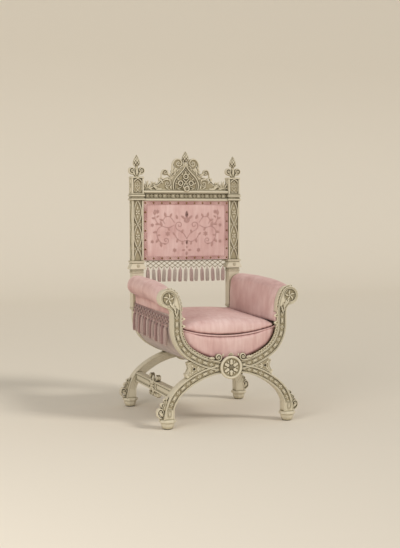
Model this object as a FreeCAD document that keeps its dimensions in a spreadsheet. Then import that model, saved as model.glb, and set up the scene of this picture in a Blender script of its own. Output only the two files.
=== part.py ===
import FreeCAD, Part
import math
import os
import Sketcher
from FreeCAD import Rotation, Vector

# Savonarola armchair with two curved X frames, an upholstered tub and a tall carved back.
# X runs to the right seen from the front, Y to the back and Z up, in millimetres.
# The origin is on the floor, in the middle between the four feet.

doc = FreeCAD.newDocument("savonarola_chair")
sheet = doc.addObject("Spreadsheet::Sheet", "sizes")

driving = {
    # the two X frames
    "frame_gap": 524,            # clear depth between the front and the rear frame
    "frame_thick": 48,           # depth of each frame member
    "split_height": 259,         # flat joint between the arm curves and the legs
    "curve_gap": 0.2,            # clearance of a carving fitted against a curved edge
    # arm curves
    "arm_half_span": 250,        # middle of the chair to the centre line of an upright
    "arm_crown_rise": 3,         # lowest point of the arm's centre line above the joint
    "arm_rise": 178,             # from there to where the curve becomes upright
    "arm_width": 40,
    "arm_side_share": 0.8146,    # radius of the tight curve at the side against the rise
    "throat_rise": 70,           # straight part, up to where it leans out to the scroll
    "volute_throw": 37,          # scroll centre outside the upright's centre line
    "volute_rise": 60,           # scroll centre above the straight part
    "volute_radius": 41,
    "volute_rim": 12,
    "neck_radius": 28,
    # legs
    "leg_half_span": 286,
    "leg_crown_drop": 3,         # highest point of the leg's centre line below the joint
    "leg_spring_height": 50,
    "leg_width": 38,
    "leg_side_share": 0.7767,
    "flare_rise": 41,            # above the foot, where the leg begins to widen
    "leg_foot_width": 48,
    # feet
    "foot_height": 29,
    "foot_step": 14,             # how much narrower the foot is than its collar
    "foot_sole_flats": 36,
    "collar_height": 15,
    "collar_flare": 22,          # how much wider the collar is than the leg
    # sunk channel and its studs on the front faces
    "channel_width": 24,
    "channel_depth": 3.5,
    "channel_start": 42,         # along the centre line from the middle of the chair
    "channel_end_rise": 12,      # above the straight part, where the arm's channel ends
    "stud_start": 62,
    "stud_pitch": 29.5,
    "stud_length": 25,
    "stud_width": 14,
    "stud_height": 3,
    "stud_chamfer": 1.5,
    "flower_lobe_radius": 3.8,
    "flower_eye_radius": 2.6,
    # dowels
    "dowel_radius": 5,
    "dowel_length": 26,
    "dowel_near": 30,
    "dowel_spread": 48,
    "dowel_fit": 0.1,
    "post_dowel_radius": 7,
    "post_dowel_length": 64,
    # roundels on the crossing
    "hub_lift": 1,               # middle of the roundel above the joint
    "hub_radius": 51,
    "hub_rim_width": 10,
    "hub_rim_rise": 14,
    "hub_plate_thick": 6,
    "petal_length": 25,
    "petal_width": 18,
    "petal_count": 6,
    "petal_rise": 5,
    "bud_radius": 12,
    "bud_rise": 8,
    "petal_clear": 0.5,
    # scrolls beside the roundel
    "hub_scroll_gap": 7,         # scroll centre outside the roundel's edge
    "hub_scroll_rise": 46,       # scroll centre above the roundel's
    "hub_scroll_radius": 19,
    "hub_scroll_rim": 5,
    "hub_scroll_sink": 5,
    "hub_tail_length": 42,
    "hub_trim_rise": 5,          # how far the trim stands in front of the frame
    "trim_thick": 11,
    "hub_leaf_radius": 7,
    # cusped cresting along the arm curve
    "crest_rib": 3,
    "cusp_pitch": 13,
    "cusp_radius": 5,
    "loop_pitch": 32,
    "loop_radius": 9,
    "loop_hole_radius": 4,
    # brackets between arm curve and leg
    "bracket_start": 113,
    "bracket_length": 65,
    "bracket_tip_out": 22,
    "bracket_tip_rise": 25,
    "bracket_notch_in": 12,
    "bracket_toe_out": 8,
    "bracket_toe_drop": 22,
    "bracket_inset": 4,
    "bracket_eye_radius": 6,
    # carved leaf on the outside of each leg
    "crocket_height": 98,
    "crocket_throw": 36,
    "crocket_thick": 32,
    # leaf boss in each front scroll
    "boss_gap": 5,               # from the recess's edge
    "boss_rise": 5,
    "boss_lobe_radius": 8,
    # stretcher on the left side
    "stretcher_inset": 4,        # inside the centre line of the legs
    "stretcher_height": 146,
    "stretcher_depth": 46,
    "stretcher_thick": 22,
    "stretcher_lip": 8,
    "stretcher_lip_proud": 4,
    "knot_half_length": 82,
    "knot_scroll_radius": 17,
    "knot_thick": 15,
    # rails inside the tub
    "keel_width": 76,
    "keel_drop": 6,              # underside below the joint of the frames
    "keel_height": 26,
    "seat_rail_inset": 6,        # inside the centre line of the uprights
    "seat_rail_width": 22,
    "seat_rail_height": 34,
    "arm_rail_radius": 14,
    # tub upholstery
    "soft_gap": 0.3,
    "seat_edge_drop": 3,         # edge of the seat sling below the start of the uprights
    "seat_sag": 36,              # how far the sling dips in the middle
    "seat_inset": 8,             # lining of the arms inside the uprights
    "webbing_thick": 5,
    "webbing_lap": 10,
    "apron_board_thick": 8,
    "apron_pad_thick": 19,
    "rear_rail_rise": 29,        # level top of the rear apron above the sling's edge
    "cover_inset": 2,
    "cover_thick": 4,
    "cover_top_gap": 1.4,        # under the hollow of the roll
    "pad_lift": 10,              # underside of the arm's pad above the sling's edge
    "pad_lean_rise": 25,
    "pad_front_proud": 2,
    "facing_reach": 36,          # how far the lining runs forward through the front frame
    "roll_proud": 2,
    "roll_lean": 1.5,
    "roll_rear_radius": 41.5,
    "roll_rear_rise": 30,        # rear end of the roll above its front end
    "roll_neck_radius": 26,
    "rail_clear": 0.4,
    # loose seat cushion
    "cushion_side_gap": 1,
    "cushion_overhang": 34,      # how far it runs forward through the front frame
    "cushion_rear_gap": 1,       # in front of the bases of the posts
    "crease_front_rise": 11,     # seam round its top above the sling's edge
    "crease_rear_rise": 29,
    "crown_front_rise": 37,
    "crown_rear_rise": 47,
    "cushion_waist": 3,          # how far the sides draw in between the corners
    # fringes
    "side_gimp_step": 1,         # rear end of the braid under the top of the cover
    "side_gimp_slope": 22,       # how much lower the braid is at the front
    "gimp_width": 9,
    "gimp_thick": 3,
    "side_net_drop": 22,
    "side_net_lean": 6,          # how far the net's lower edge stands out from its braid
    "side_tassel_length": 88,
    "side_tassel_pitch": 42,
    "net_thick": 3,
    "cord_width": 3,
    "tassel_head_radius": 5,
    "tassel_skirt_radius": 8.5,
    "side_tassel_radius": 9,
    # posts of the back
    "post_foot_rise": 30,        # above the start of the uprights
    "post_width": 56,
    "post_neck_inset": 2,
    "base_clear": 25.5,          # above the roll of the arm
    "base_bead": 6,
    "base_tall": 31,
    "base_flare": 20,
    "base_proud": 10,
    "collar_tall": 10,
    "shaft_tall": 292,
    "cap_tall": 27,
    "cap_flare": 10,
    "cap_proud": 10,
    "cap_neck": 9,
    "spire_tall": 87,
    "spire_flare": 4,
    "panel_margin": 6,
    "panel_depth": 6,
    "tracery_width": 5.5,
    "tracery_rise": 5,
    "tracery_period": 117,
    "tracery_flower_radius": 5.5,
    "niche_margin": 7,
    # finials on the posts
    "finial_scroll_reach": 25,
    "finial_scroll_rise": 32,
    "finial_scroll_radius": 19,
    "finial_thick": 26,
    "finial_bud_rise": 46,
    "finial_bud_tall": 59,
    "finial_bud_radius": 19,
    # top rail and crest
    "rail_drop": 3,              # under the top of the shafts
    "rail_tall": 50,
    "rail_lip": 11,
    "rail_lip_depth": 40,
    "rail_depth": 28,
    "bead_pitch": 22,
    "bead_radius": 6.5,
    "bead_length": 17,
    "bead_rise": 5,
    "crest_thick": 20,
    "crest_height": 136,
    "crest_back": 14,            # crest behind the front face of the posts
    "arch_rise": 6,
    "crest_bud_tall": 62.4,
    "crest_bud_radius": 16,
    # upholstered panel
    "panel_lift": 1,             # above the bottom of the shafts
    "panel_side_gap": 1,
    "lower_rail_height": 34,
    "lower_rail_depth": 26,
    "board_inset": 17,           # behind the front face of the posts
    "board_thick": 14,
    "pad_thick": 9,
    "pad_crown": 7,
    "border_width": 19,
    "border_thick": 3,
    "nail_pitch": 44,
    "nail_radius": 4.5,
    "nail_rise": 2.5,
    "back_cover_thick": 2,
    "back_net_drop": 38,
    "net_heading": 5,
    "back_tassel_length": 66,
    "back_tassel_pitch": 28,
}

# Heights above the floor and places that follow from the sizes above
worked_out = {
    "leg_base_height": "foot_height + collar_height",
    "flare_height": "leg_base_height + flare_rise",
    "collar_flats": "leg_foot_width + collar_flare",
    "foot_top_flats": "collar_flats - foot_step",
    "leg_crown_height": "split_height - leg_crown_drop",
    "arm_crown_height": "split_height + arm_crown_rise",
    "arm_spring_height": "arm_crown_height + arm_rise",
    "throat_height": "arm_spring_height + throat_rise",
    "volute_height": "throat_height + volute_rise",
    "volute_recess_radius": "volute_radius - volute_rim",
    "boss_radius": "volute_recess_radius - boss_gap",
    "dowel_far": "dowel_near + dowel_spread",
    "hub_height": "split_height + hub_lift",
    "hub_scroll_reach": "hub_radius + hub_scroll_gap",
    "hub_scroll_height": "hub_height + hub_scroll_rise",
    "bracket_top_reach": "bracket_start + bracket_length",
    "bracket_tip_reach": "bracket_top_reach + bracket_tip_out",
    "bracket_tip_height": "split_height + bracket_tip_rise",
    "bracket_notch_reach": "bracket_tip_reach - bracket_notch_in",
    "bracket_toe_reach": "bracket_tip_reach + bracket_toe_out",
    "bracket_toe_height": "split_height - bracket_toe_drop",
    "leg_side_radius": "leg_side_share * (leg_crown_height - leg_spring_height)",
    "stretcher_over_spring": "stretcher_height - leg_spring_height",
    "stretcher_reach": "leg_half_span - leg_side_radius - stretcher_inset"
                       " + sqrt(leg_side_radius^2 - stretcher_over_spring^2)",
    "keel_bottom": "split_height - keel_drop",
    "seat_rail_reach": "arm_half_span - seat_rail_inset",
    "seat_edge_height": "arm_spring_height - seat_edge_drop",
    "seat_rail_bottom": "seat_edge_height - webbing_thick - seat_rail_height",
    "seat_half_width": "arm_half_span - arm_width / 2 - seat_inset",
    "rear_rail_top": "seat_edge_height + rear_rail_rise",
    "pad_bottom": "seat_edge_height + pad_lift",
    "pad_lean_start": "pad_bottom + pad_lean_rise",
    "roll_front_radius": "volute_radius + roll_proud",
    "roll_rear_height": "volute_height + roll_rear_rise",
    "hollow_across": "arm_width / 2 - cover_inset + roll_neck_radius - volute_throw",
    "cover_top": "volute_height - cover_top_gap"
                 " - sqrt((roll_front_radius + roll_neck_radius)^2 - hollow_across^2)",
    "side_gimp_height": "cover_top - side_gimp_step",
    "post_foot": "arm_spring_height + post_foot_rise",
    "post_neck_width": "post_width - post_neck_inset",
    "base_width": "post_width + base_flare",
    "base_depth": "frame_thick + base_proud",
    "base_bottom": "roll_rear_height + roll_rear_radius + base_clear",
    "base_top": "base_bottom + base_tall",
    "shaft_bottom": "base_top + collar_tall",
    "shaft_top": "shaft_bottom + shaft_tall",
    "cap_top": "shaft_top + cap_tall",
    "cap_width": "post_width + cap_flare",
    "cap_depth": "frame_thick + cap_proud",
    "spire_top": "cap_top + spire_tall",
    "spire_width": "post_width + spire_flare",
    "cushion_front": "frame_gap / 2 + cushion_overhang",
    "cushion_rear": "frame_gap / 2 + frame_thick / 2 - base_depth / 2 - cushion_rear_gap",
    "crease_front": "seat_edge_height + crease_front_rise",
    "crease_rear": "seat_edge_height + crease_rear_rise",
    "crown_front": "seat_edge_height + crown_front_rise",
    "crown_rear": "seat_edge_height + crown_rear_rise",
    "finial_scroll_height": "spire_top + finial_scroll_rise",
    "finial_bud_bottom": "spire_top + finial_bud_rise",
    "finial_tip": "finial_bud_bottom + finial_bud_tall",
    "rail_bottom": "shaft_top - rail_drop",
    "rail_top": "rail_bottom + rail_tall",
    "panel_bottom": "shaft_bottom + panel_lift",
    "board_front": "frame_gap / 2 + board_inset",
}


def fill_cell(row, alias, content):
    sheet.set(f"A{row}", alias)
    sheet.set(f"B{row}", content)
    sheet.setAlias(f"B{row}", alias)


for row, (alias, value) in enumerate(driving.items(), start=1):
    fill_cell(row, alias, str(value))
for row, (alias, formula) in enumerate(worked_out.items(), start=len(driving) + 1):
    fill_cell(row, alias, "=" + formula)
doc.recompute()


class Sizes:
    """Reads a driving dimension from the sheet by its alias."""

    def __getattr__(self, alias):
        return float(sheet.get(alias))


s = Sizes()
pieces = []
same_place = 1e-6            # two points nearer than this are one
right_angle = math.pi / 2
half_turn = math.pi


# Drawing outlines in the XZ plane
# An outline is a start point, then a point for a line or a (middle, end) pair for an arc.

def polar(centre, radius, angle):
    return (centre[0] + radius * math.cos(angle), centre[1] + radius * math.sin(angle))


def curve(centre, radius, start, end):
    return (polar(centre, radius, (start + end) / 2), polar(centre, radius, end))


def is_arc(step):
    return isinstance(step[0], tuple)


def mirrored(outline, side):
    """The outline for the right, side 1, or for the left, side -1."""
    flipped = []
    for step in outline:
        if is_arc(step):
            flipped.append(tuple((side * x, z) for x, z in step))
        else:
            flipped.append((side * step[0], step[1]))
    return flipped


def edges(outline, place):
    """Closed geometry along an outline, each point set in space by place."""
    made = []
    last = outline[0]
    for step in outline[1:] + [outline[0]]:
        end = step[1] if is_arc(step) else step
        if is_arc(step):
            made.append(Part.Arc(place(last), place(step[0]), place(end)))
        elif math.dist(last, end) > same_place:
            made.append(Part.LineSegment(place(last), place(end)))
        last = end
    return made


def wire(outline, y):
    return Part.Wire([e.toShape() for e in edges(outline, lambda p: Vector(p[0], y, p[1]))])


def slab(outline, front, back):
    """The outline as a plate from the front face to the back face."""
    return Part.Face(wire(outline, front)).extrude(Vector(0, back - front, 0))


def disc(x, z, radius, front, back):
    return Part.makeCylinder(radius, back - front, Vector(x, front, z), Vector(0, 1, 0))


def block(low, high):
    size = high - low
    return Part.makeBox(size.x, size.y, size.z, low)


def fused(shapes):
    """The shapes as one clean solid or group of solids."""
    shapes = list(shapes)
    if len(shapes) == 1:
        return shapes[0]
    return shapes[0].multiFuse(shapes[1:]).removeSplitter()


def both_sides(shape):
    """The shape and its mirror image across the middle of the chair."""
    return fused([shape, shape.mirror(Vector(0, 0, 0), Vector(1, 0, 0))])


def turned(profile, x, y, turn_axis=Vector(0, 0, 1)):
    """A solid turned about an upright axis; the profile gives (radius, z)."""
    points = [Vector(x + r, y, z) for r, z in profile]
    face = Part.Face(Part.makePolygon(points + [points[0]]))
    return face.revolve(Vector(x, y, 0), turn_axis, 360)


# Adding sub-parts to the document

def feature(label, shape):
    piece = doc.addObject("Part::Feature", label)
    piece.Label = label
    piece.Shape = shape
    pieces.append(piece)
    return piece


def finished(piece, label):
    piece.Label = label
    pieces.append(piece)
    return piece


def origin_plane(body, role):
    return [item for item in body.Origin.OriginFeatures if item.Role == role][0]


def sketch_on(body, name, role, offset, outlines):
    """A sketch on an origin plane, moved along its normal by an expression."""
    sketch = body.newObject("Sketcher::SketchObject", name)
    sketch.AttachmentSupport = (origin_plane(body, role), [""])
    sketch.MapMode = "FlatFace"
    sketch.setExpression("AttachmentOffset.Base.z", offset)
    for outline in outlines:
        sketch.addGeometry(edges(outline, lambda p: Vector(p[0], p[1], 0)), False)
    for index in range(sketch.GeometryCount):
        sketch.addConstraint(Sketcher.Constraint("Block", index))
    return sketch


def circle_outline(x, z, radius):
    return [(x + radius, z), ((x, z + radius), (x - radius, z)), ((x, z - radius), (x + radius, z))]


def pad_body(name, outline, offset, length, role="XZ_Plane"):
    body = doc.addObject("PartDesign::Body", name)
    pad = body.newObject("PartDesign::Pad", "thickness")
    pad.Profile = sketch_on(body, "outline", role, offset, [outline])
    pad.setExpression("Length", length)
    doc.recompute()
    return body


def pocket(body, name, outlines, role, offset, depth, upwards=False):
    """Cuts outlines into a body and makes sure that something was cut."""
    before = body.Shape.Volume
    cut = body.newObject("PartDesign::Pocket", name)
    cut.Profile = sketch_on(body, name + "_outline", role, offset, outlines)
    cut.setExpression("Length", depth)
    cut.Reversed = upwards
    doc.recompute()
    if not body.Shape.Volume < before:
        raise RuntimeError(f"{body.Label}: {name} cuts nothing")


def bound_box(name, place, extent):
    """A box whose corner and three sides are expressions on the sheet."""
    box = doc.addObject("Part::Box", name)
    for axis, expression in zip("xyz", place):
        box.setExpression(f"Placement.Base.{axis}", expression)
    for side, expression in zip(("Length", "Width", "Height"), extent):
        box.setExpression(side, expression)
    return box


def joined(name, parts):
    joint = doc.addObject("Part::MultiFuse", name)
    joint.Shapes = parts
    joint.Refine = True
    return joint


def cut_from(name, base, tool):
    cut = doc.addObject("Part::Cut", name)
    cut.Base = base
    cut.Tool = tool
    return cut


# Depths that everything lines up with
inner_face = s.frame_gap / 2
outer_face = inner_face + s.frame_thick
frame_middle = inner_face + s.frame_thick / 2
front_frame_offset = "sizes.frame_gap / 2"
rear_frame_offset = "-sizes.frame_gap / 2 - sizes.frame_thick"


class Arch:
    """A three-centred curve: a wide arc in the middle and a tighter one at each side."""

    def __init__(self, half_span, side_share, crown, spring):
        rise = abs(crown - spring)
        way = 1 if crown > spring else -1
        self.half_span = half_span
        self.side = side_share * rise
        self.main = (half_span**2 + rise**2 - 2 * half_span * self.side) / (2 * (rise - self.side))
        self.main_centre = (0, crown - way * self.main)
        self.side_centre = (half_span - self.side, spring)
        self.crown_angle = way * right_angle
        self.meet = math.atan2(spring - self.main_centre[1], half_span - self.side)
        self.main_length = self.main * abs(self.crown_angle - self.meet)
        self.side_length = self.side * abs(self.meet)
        self.way = way

    def main_angle_at(self, height, radius):
        return math.asin((height - self.main_centre[1]) / radius)

    def side_angle_at(self, height, radius):
        return math.asin((height - self.side_centre[1]) / radius)

    def along(self, distance, offset=0):
        """Point and direction at a distance from the crown; offset is away from the centres."""
        if distance < self.main_length:
            angle = self.crown_angle - self.way * distance / self.main
            return polar(self.main_centre, self.main + offset, angle), angle - self.way * right_angle
        if distance < self.main_length + self.side_length:
            angle = self.meet - self.way * (distance - self.main_length) / self.side
            return polar(self.side_centre, self.side + offset, angle), angle - self.way * right_angle
        beyond = distance - self.main_length - self.side_length
        place = (self.half_span + offset, self.side_centre[1] - self.way * beyond)
        return place, -self.way * right_angle


arm_arch = Arch(s.arm_half_span, s.arm_side_share, s.arm_crown_height, s.arm_spring_height)
leg_arch = Arch(s.leg_half_span, s.leg_side_share, s.leg_crown_height, s.leg_spring_height)
upright_inner = s.arm_half_span - s.arm_width / 2
upright_outer = s.arm_half_span + s.arm_width / 2
volute_centre = (s.arm_half_span + s.volute_throw, s.volute_height)


def throat(inner_x, start_height, centre, radius):
    """The arc from an upright line to a circle that it meets without a kink."""
    across = centre[0] - inner_x
    up = centre[1] - start_height
    reach = (up**2 + across**2 - radius**2) / (2 * (across - radius))
    middle = (inner_x + reach, start_height)
    return middle, reach, math.atan2(up, centre[0] - middle[0])


def neck(outer_x, radius, centre, circle_radius):
    """The hollow under a scroll, between its circle and the upright's outer edge."""
    x = outer_x + radius
    z = centre[1] - math.sqrt((circle_radius + radius)**2 - (x - centre[0])**2)
    return (x, z), math.atan2(z - centre[1], x - centre[0])


def arm_outline(grow=0, scroll=True):
    """The right arm curve, from the joint at the middle and back along its outside."""
    reach = s.arm_width / 2 + grow
    arch = arm_arch
    outline = [
        (0, s.split_height),
        polar(arch.main_centre, arch.main - reach, arch.crown_angle),
        curve(arch.main_centre, arch.main - reach, arch.crown_angle, arch.meet),
        curve(arch.side_centre, arch.side - reach, arch.meet, 0),
    ]
    if scroll:
        middle, radius, top = throat(upright_inner, s.throat_height, volute_centre, s.volute_radius)
        hollow, under = neck(upright_outer, s.neck_radius, volute_centre, s.volute_radius)
        outline += [
            (upright_inner - grow, s.throat_height),
            curve(middle, radius + grow, half_turn, top),
            curve(volute_centre, s.volute_radius + grow, top, under),
            curve(hollow, s.neck_radius - grow, under + half_turn, half_turn),
        ]
    else:
        outline += [(upright_inner - grow, s.post_foot), (upright_outer + grow, s.post_foot)]
    outer = arch.main + reach
    outline += [
        (upright_outer + grow, s.arm_spring_height),
        curve(arch.side_centre, arch.side + reach, 0, arch.meet),
        curve(arch.main_centre, outer, arch.meet, arch.main_angle_at(s.split_height, outer)),
    ]
    return outline


def leg_outline(grow=0):
    """The right leg, from the joint at the middle, down its inside and back up its outside."""
    reach = s.leg_width / 2 + grow
    arch = leg_arch
    inner, outer = arch.side - reach, arch.side + reach
    foot_half = s.leg_foot_width / 2 + grow
    outer_flare = arch.side_angle_at(s.flare_height, outer)
    main_outer = arch.main + reach
    return [
        (0, s.split_height),
        polar(arch.main_centre, arch.main - reach, arch.crown_angle),
        curve(arch.main_centre, arch.main - reach, arch.crown_angle, arch.meet),
        curve(arch.side_centre, inner, arch.meet, arch.side_angle_at(s.flare_height, inner)),
        (s.leg_half_span - foot_half, s.leg_base_height),
        (s.leg_half_span + foot_half, s.leg_base_height),
        polar(arch.side_centre, outer, outer_flare),
        curve(arch.side_centre, outer, outer_flare, arch.meet),
        curve(arch.main_centre, main_outer, arch.meet, arch.main_angle_at(s.split_height, main_outer)),
    ]


def channel_outline(arch, end_height):
    """The sunk band along the middle of a curved member."""
    half = s.channel_width / 2
    start = arch.crown_angle - arch.way * s.channel_start / arch.main
    if arch is leg_arch:
        inner_end = arch.side_angle_at(end_height, arch.side - half)
        outer_end = arch.side_angle_at(end_height, arch.side + half)
    else:
        inner_end = outer_end = 0
    outline = [
        polar(arch.main_centre, arch.main - half, start),
        curve(arch.main_centre, arch.main - half, start, arch.meet),
        curve(arch.side_centre, arch.side - half, arch.meet, inner_end),
    ]
    if arch is arm_arch:
        outline += [(arch.half_span - half, end_height), (arch.half_span + half, end_height)]
    outline += [
        polar(arch.side_centre, arch.side + half, outer_end),
        curve(arch.side_centre, arch.side + half, outer_end, arch.meet),
        curve(arch.main_centre, arch.main + half, arch.meet, start),
    ]
    return outline


# The X frames: arm curves above the flat joint, legs below it

def dowel_outlines(side, y):
    return [circle_outline(side * x, y, s.dowel_radius + s.dowel_fit) for x in (s.dowel_near, s.dowel_far)]


for frame, y_sign, offset in (("front", -1, front_frame_offset), ("rear", 1, rear_frame_offset)):
    for name, side in (("left", -1), ("right", 1)):
        is_front = frame == "front"
        arm = pad_body(f"{frame}_{name}_arm_curve", mirrored(arm_outline(scroll=is_front), side),
                       offset, "sizes.frame_thick")
        pocket(arm, "dowel_holes", dowel_outlines(side, y_sign * frame_middle), "XY_Plane",
               "sizes.split_height", "sizes.dowel_length / 2 + sizes.dowel_fit", upwards=True)
        leg = pad_body(f"{frame}_{name}_leg", mirrored(leg_outline(), side), offset, "sizes.frame_thick")
        pocket(leg, "dowel_holes", dowel_outlines(side, y_sign * frame_middle), "XY_Plane",
               "sizes.split_height", "sizes.dowel_length / 2 + sizes.dowel_fit")
        if is_front:
            face_offset = "sizes.frame_gap / 2 + sizes.frame_thick"
            channel_end = s.throat_height + s.channel_end_rise
            pocket(arm, "channel", [mirrored(channel_outline(arm_arch, channel_end), side)],
                   "XZ_Plane", face_offset, "sizes.channel_depth")
            recess = circle_outline(side * volute_centre[0], volute_centre[1], s.volute_recess_radius)
            pocket(arm, "scroll_recess", [recess], "XZ_Plane", face_offset, "sizes.channel_depth")
            pocket(leg, "channel", [mirrored(channel_outline(leg_arch, s.flare_height), side)],
                   "XZ_Plane", face_offset, "sizes.channel_depth")
        else:
            hole = circle_outline(side * s.arm_half_span, frame_middle, s.post_dowel_radius + s.dowel_fit)
            pocket(arm, "post_dowel_hole", [hole], "XY_Plane", "sizes.post_foot",
                   "sizes.post_dowel_length / 2 + sizes.dowel_fit")
        finished(arm, f"{frame}_{name}_arm_curve")
        finished(leg, f"{frame}_{name}_leg")


def upright_dowel(x, y, z, radius, length):
    return Part.makeCylinder(radius, length, Vector(x, y, z - length / 2))


dowels = []
for y in (-frame_middle, frame_middle):
    for x in (-s.dowel_far, -s.dowel_near, s.dowel_near, s.dowel_far):
        dowels.append(upright_dowel(x, y, s.split_height, s.dowel_radius, s.dowel_length))
for side in (-1, 1):
    dowels.append(upright_dowel(side * s.arm_half_span, frame_middle, s.post_foot,
                                s.post_dowel_radius, s.post_dowel_length))
feature("frame_dowels", Part.makeCompound(dowels))


# Feet: an eight-sided collar over a foot that narrows to its sole

def octagon(flats, z):
    eighth = math.pi / 4
    corner = flats / 2 / math.cos(eighth / 2)
    points = [Vector(*polar((0, 0), corner, (k + 0.5) * eighth), z) for k in range(8)]
    return Part.makePolygon(points + [points[0]])


foot_profile_shares = [(0, 0), (0.2, 0.45), (0.5, 0.8), (0.8, 0.97), (1, 1)]
collar_edge_share = 0.25
foot_growth = s.foot_top_flats - s.foot_sole_flats
foot_rings = [octagon(s.foot_sole_flats + foot_growth * wide, s.foot_height * high)
              for high, wide in foot_profile_shares]
collar_edge = s.collar_height * collar_edge_share
collar_rings = [
    octagon(s.collar_flats - 2 * collar_edge, s.foot_height),
    octagon(s.collar_flats, s.foot_height + collar_edge),
    octagon(s.collar_flats, s.leg_base_height - collar_edge),
    octagon(s.collar_flats - 2 * collar_edge, s.leg_base_height),
]
foot_solid = fused([Part.makeLoft(foot_rings, True, True), Part.makeLoft(collar_rings, True, True)])
for frame, y in (("front", -frame_middle), ("rear", frame_middle)):
    for name, side in (("left", -1), ("right", 1)):
        foot = feature(f"{frame}_{name}_foot", foot_solid.copy())
        foot.Placement.Base = Vector(side * s.leg_half_span, y, 0)


# Roundels over the crossing: a rimmed disc and a six-petalled flower

def roundel(name, offset, facing):
    body = doc.addObject("PartDesign::Body", name)
    rim_in = s.hub_radius - s.hub_rim_width
    plate = facing * s.hub_plate_thick
    profile = [
        (0, 0),
        (s.hub_radius, 0),
        (s.hub_radius, plate),
        ((s.hub_radius - s.hub_rim_width / 2, facing * s.hub_rim_rise), (rim_in, plate)),
        (0, plate),
    ]
    sketch = body.newObject("Sketcher::SketchObject", "profile")
    sketch.AttachmentSupport = (origin_plane(body, "XY_Plane"), [""])
    sketch.MapMode = "FlatFace"
    sketch.setExpression("AttachmentOffset.Base.z", "sizes.hub_height")
    sketch.setExpression("AttachmentOffset.Base.y", offset)
    sketch.addGeometry(edges(profile, lambda p: Vector(p[0], p[1], 0)), False)
    for index in range(sketch.GeometryCount):
        sketch.addConstraint(Sketcher.Constraint("Block", index))
    turn = body.newObject("PartDesign::Revolution", "turning")
    turn.Profile = sketch
    turn.ReferenceAxis = (sketch, ["V_Axis"])
    doc.recompute()
    return finished(body, name)


roundel("front_roundel", "-sizes.frame_gap / 2 - sizes.frame_thick", -1)
roundel("rear_roundel", "sizes.frame_gap / 2 + sizes.frame_thick", 1)


def flower(facing):
    """Six petals round a bud, standing on the roundel's plate."""
    base = facing * (outer_face + s.hub_plate_thick)
    start = s.bud_radius + s.petal_clear
    middle = start + s.petal_length / 2
    petals = []
    step = 360 / s.petal_count
    for k in range(round(s.petal_count)):
        lens = [(start, 0), ((middle, s.petal_width / 2), (start + s.petal_length, 0)),
                ((middle, -s.petal_width / 2), (start, 0))]
        petal = slab(lens, 0, facing * s.petal_rise)
        petal.rotate(Vector(0, 0, 0), Vector(0, 1, 0), (k + 0.5) * step)
        petals.append(petal)
    bud = Part.makeCone(s.bud_radius, s.bud_radius / 2, s.bud_rise, Vector(0, 0, 0), Vector(0, facing, 0))
    group = Part.makeCompound(petals + [bud])
    group.translate(Vector(0, base, s.hub_height))
    return group


feature("roundel_flowers", Part.makeCompound([flower(-1), flower(1)]))

# Trim on the front face: scrolls beside the roundel, cusped cresting, brackets, studs
trim_front = -outer_face - s.hub_trim_rise
trim_back = trim_front + s.trim_thick + s.hub_trim_rise
cresting_back = -outer_face + s.trim_thick
arm_keepout = slab(arm_outline(s.curve_gap), -outer_face - s.frame_thick, outer_face)
leg_keepout = slab(leg_outline(s.curve_gap), -outer_face - s.frame_thick, outer_face)


# The leaf's tail: shares of its length, and of the scroll's radius above its centre
hub_tail_shares = [(0, -1), (0, 0.5), ((0.6, -0.1), (1, -0.2)), (1, -1)]


def hub_scroll():
    """One scroll on the arm curve beside the roundel, with a leaf that tails off outwards."""
    x, z = s.hub_scroll_reach, s.hub_scroll_height

    def placed(step):
        if is_arc(step):
            return tuple(placed(point) for point in step)
        return (x + s.hub_tail_length * step[0], z + s.hub_scroll_radius * step[1])

    tail = [placed(step) for step in hub_tail_shares]
    body = fused([disc(x, z, s.hub_scroll_radius, trim_front, trim_back), slab(tail, trim_front, trim_back)])
    hollow = disc(x, z, s.hub_scroll_radius - s.hub_scroll_rim, trim_front, trim_front + s.hub_scroll_sink)
    eye = disc(x, z, s.hub_scroll_rim, trim_front, trim_front + s.hub_scroll_sink)
    plate = disc(0, s.hub_height, s.hub_radius + s.curve_gap, trim_front - s.frame_thick, trim_back)
    return body.cut(hollow.cut(eye)).cut(arm_keepout).cut(plate)


scroll_pair = both_sides(hub_scroll())
leaf_base = s.hub_height + s.hub_radius + s.curve_gap
hub_leaf = disc(0, leaf_base + s.hub_leaf_radius, s.hub_leaf_radius, trim_front, trim_back)
feature("hub_scrolls", Part.makeCompound([scroll_pair, hub_leaf]))


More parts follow.
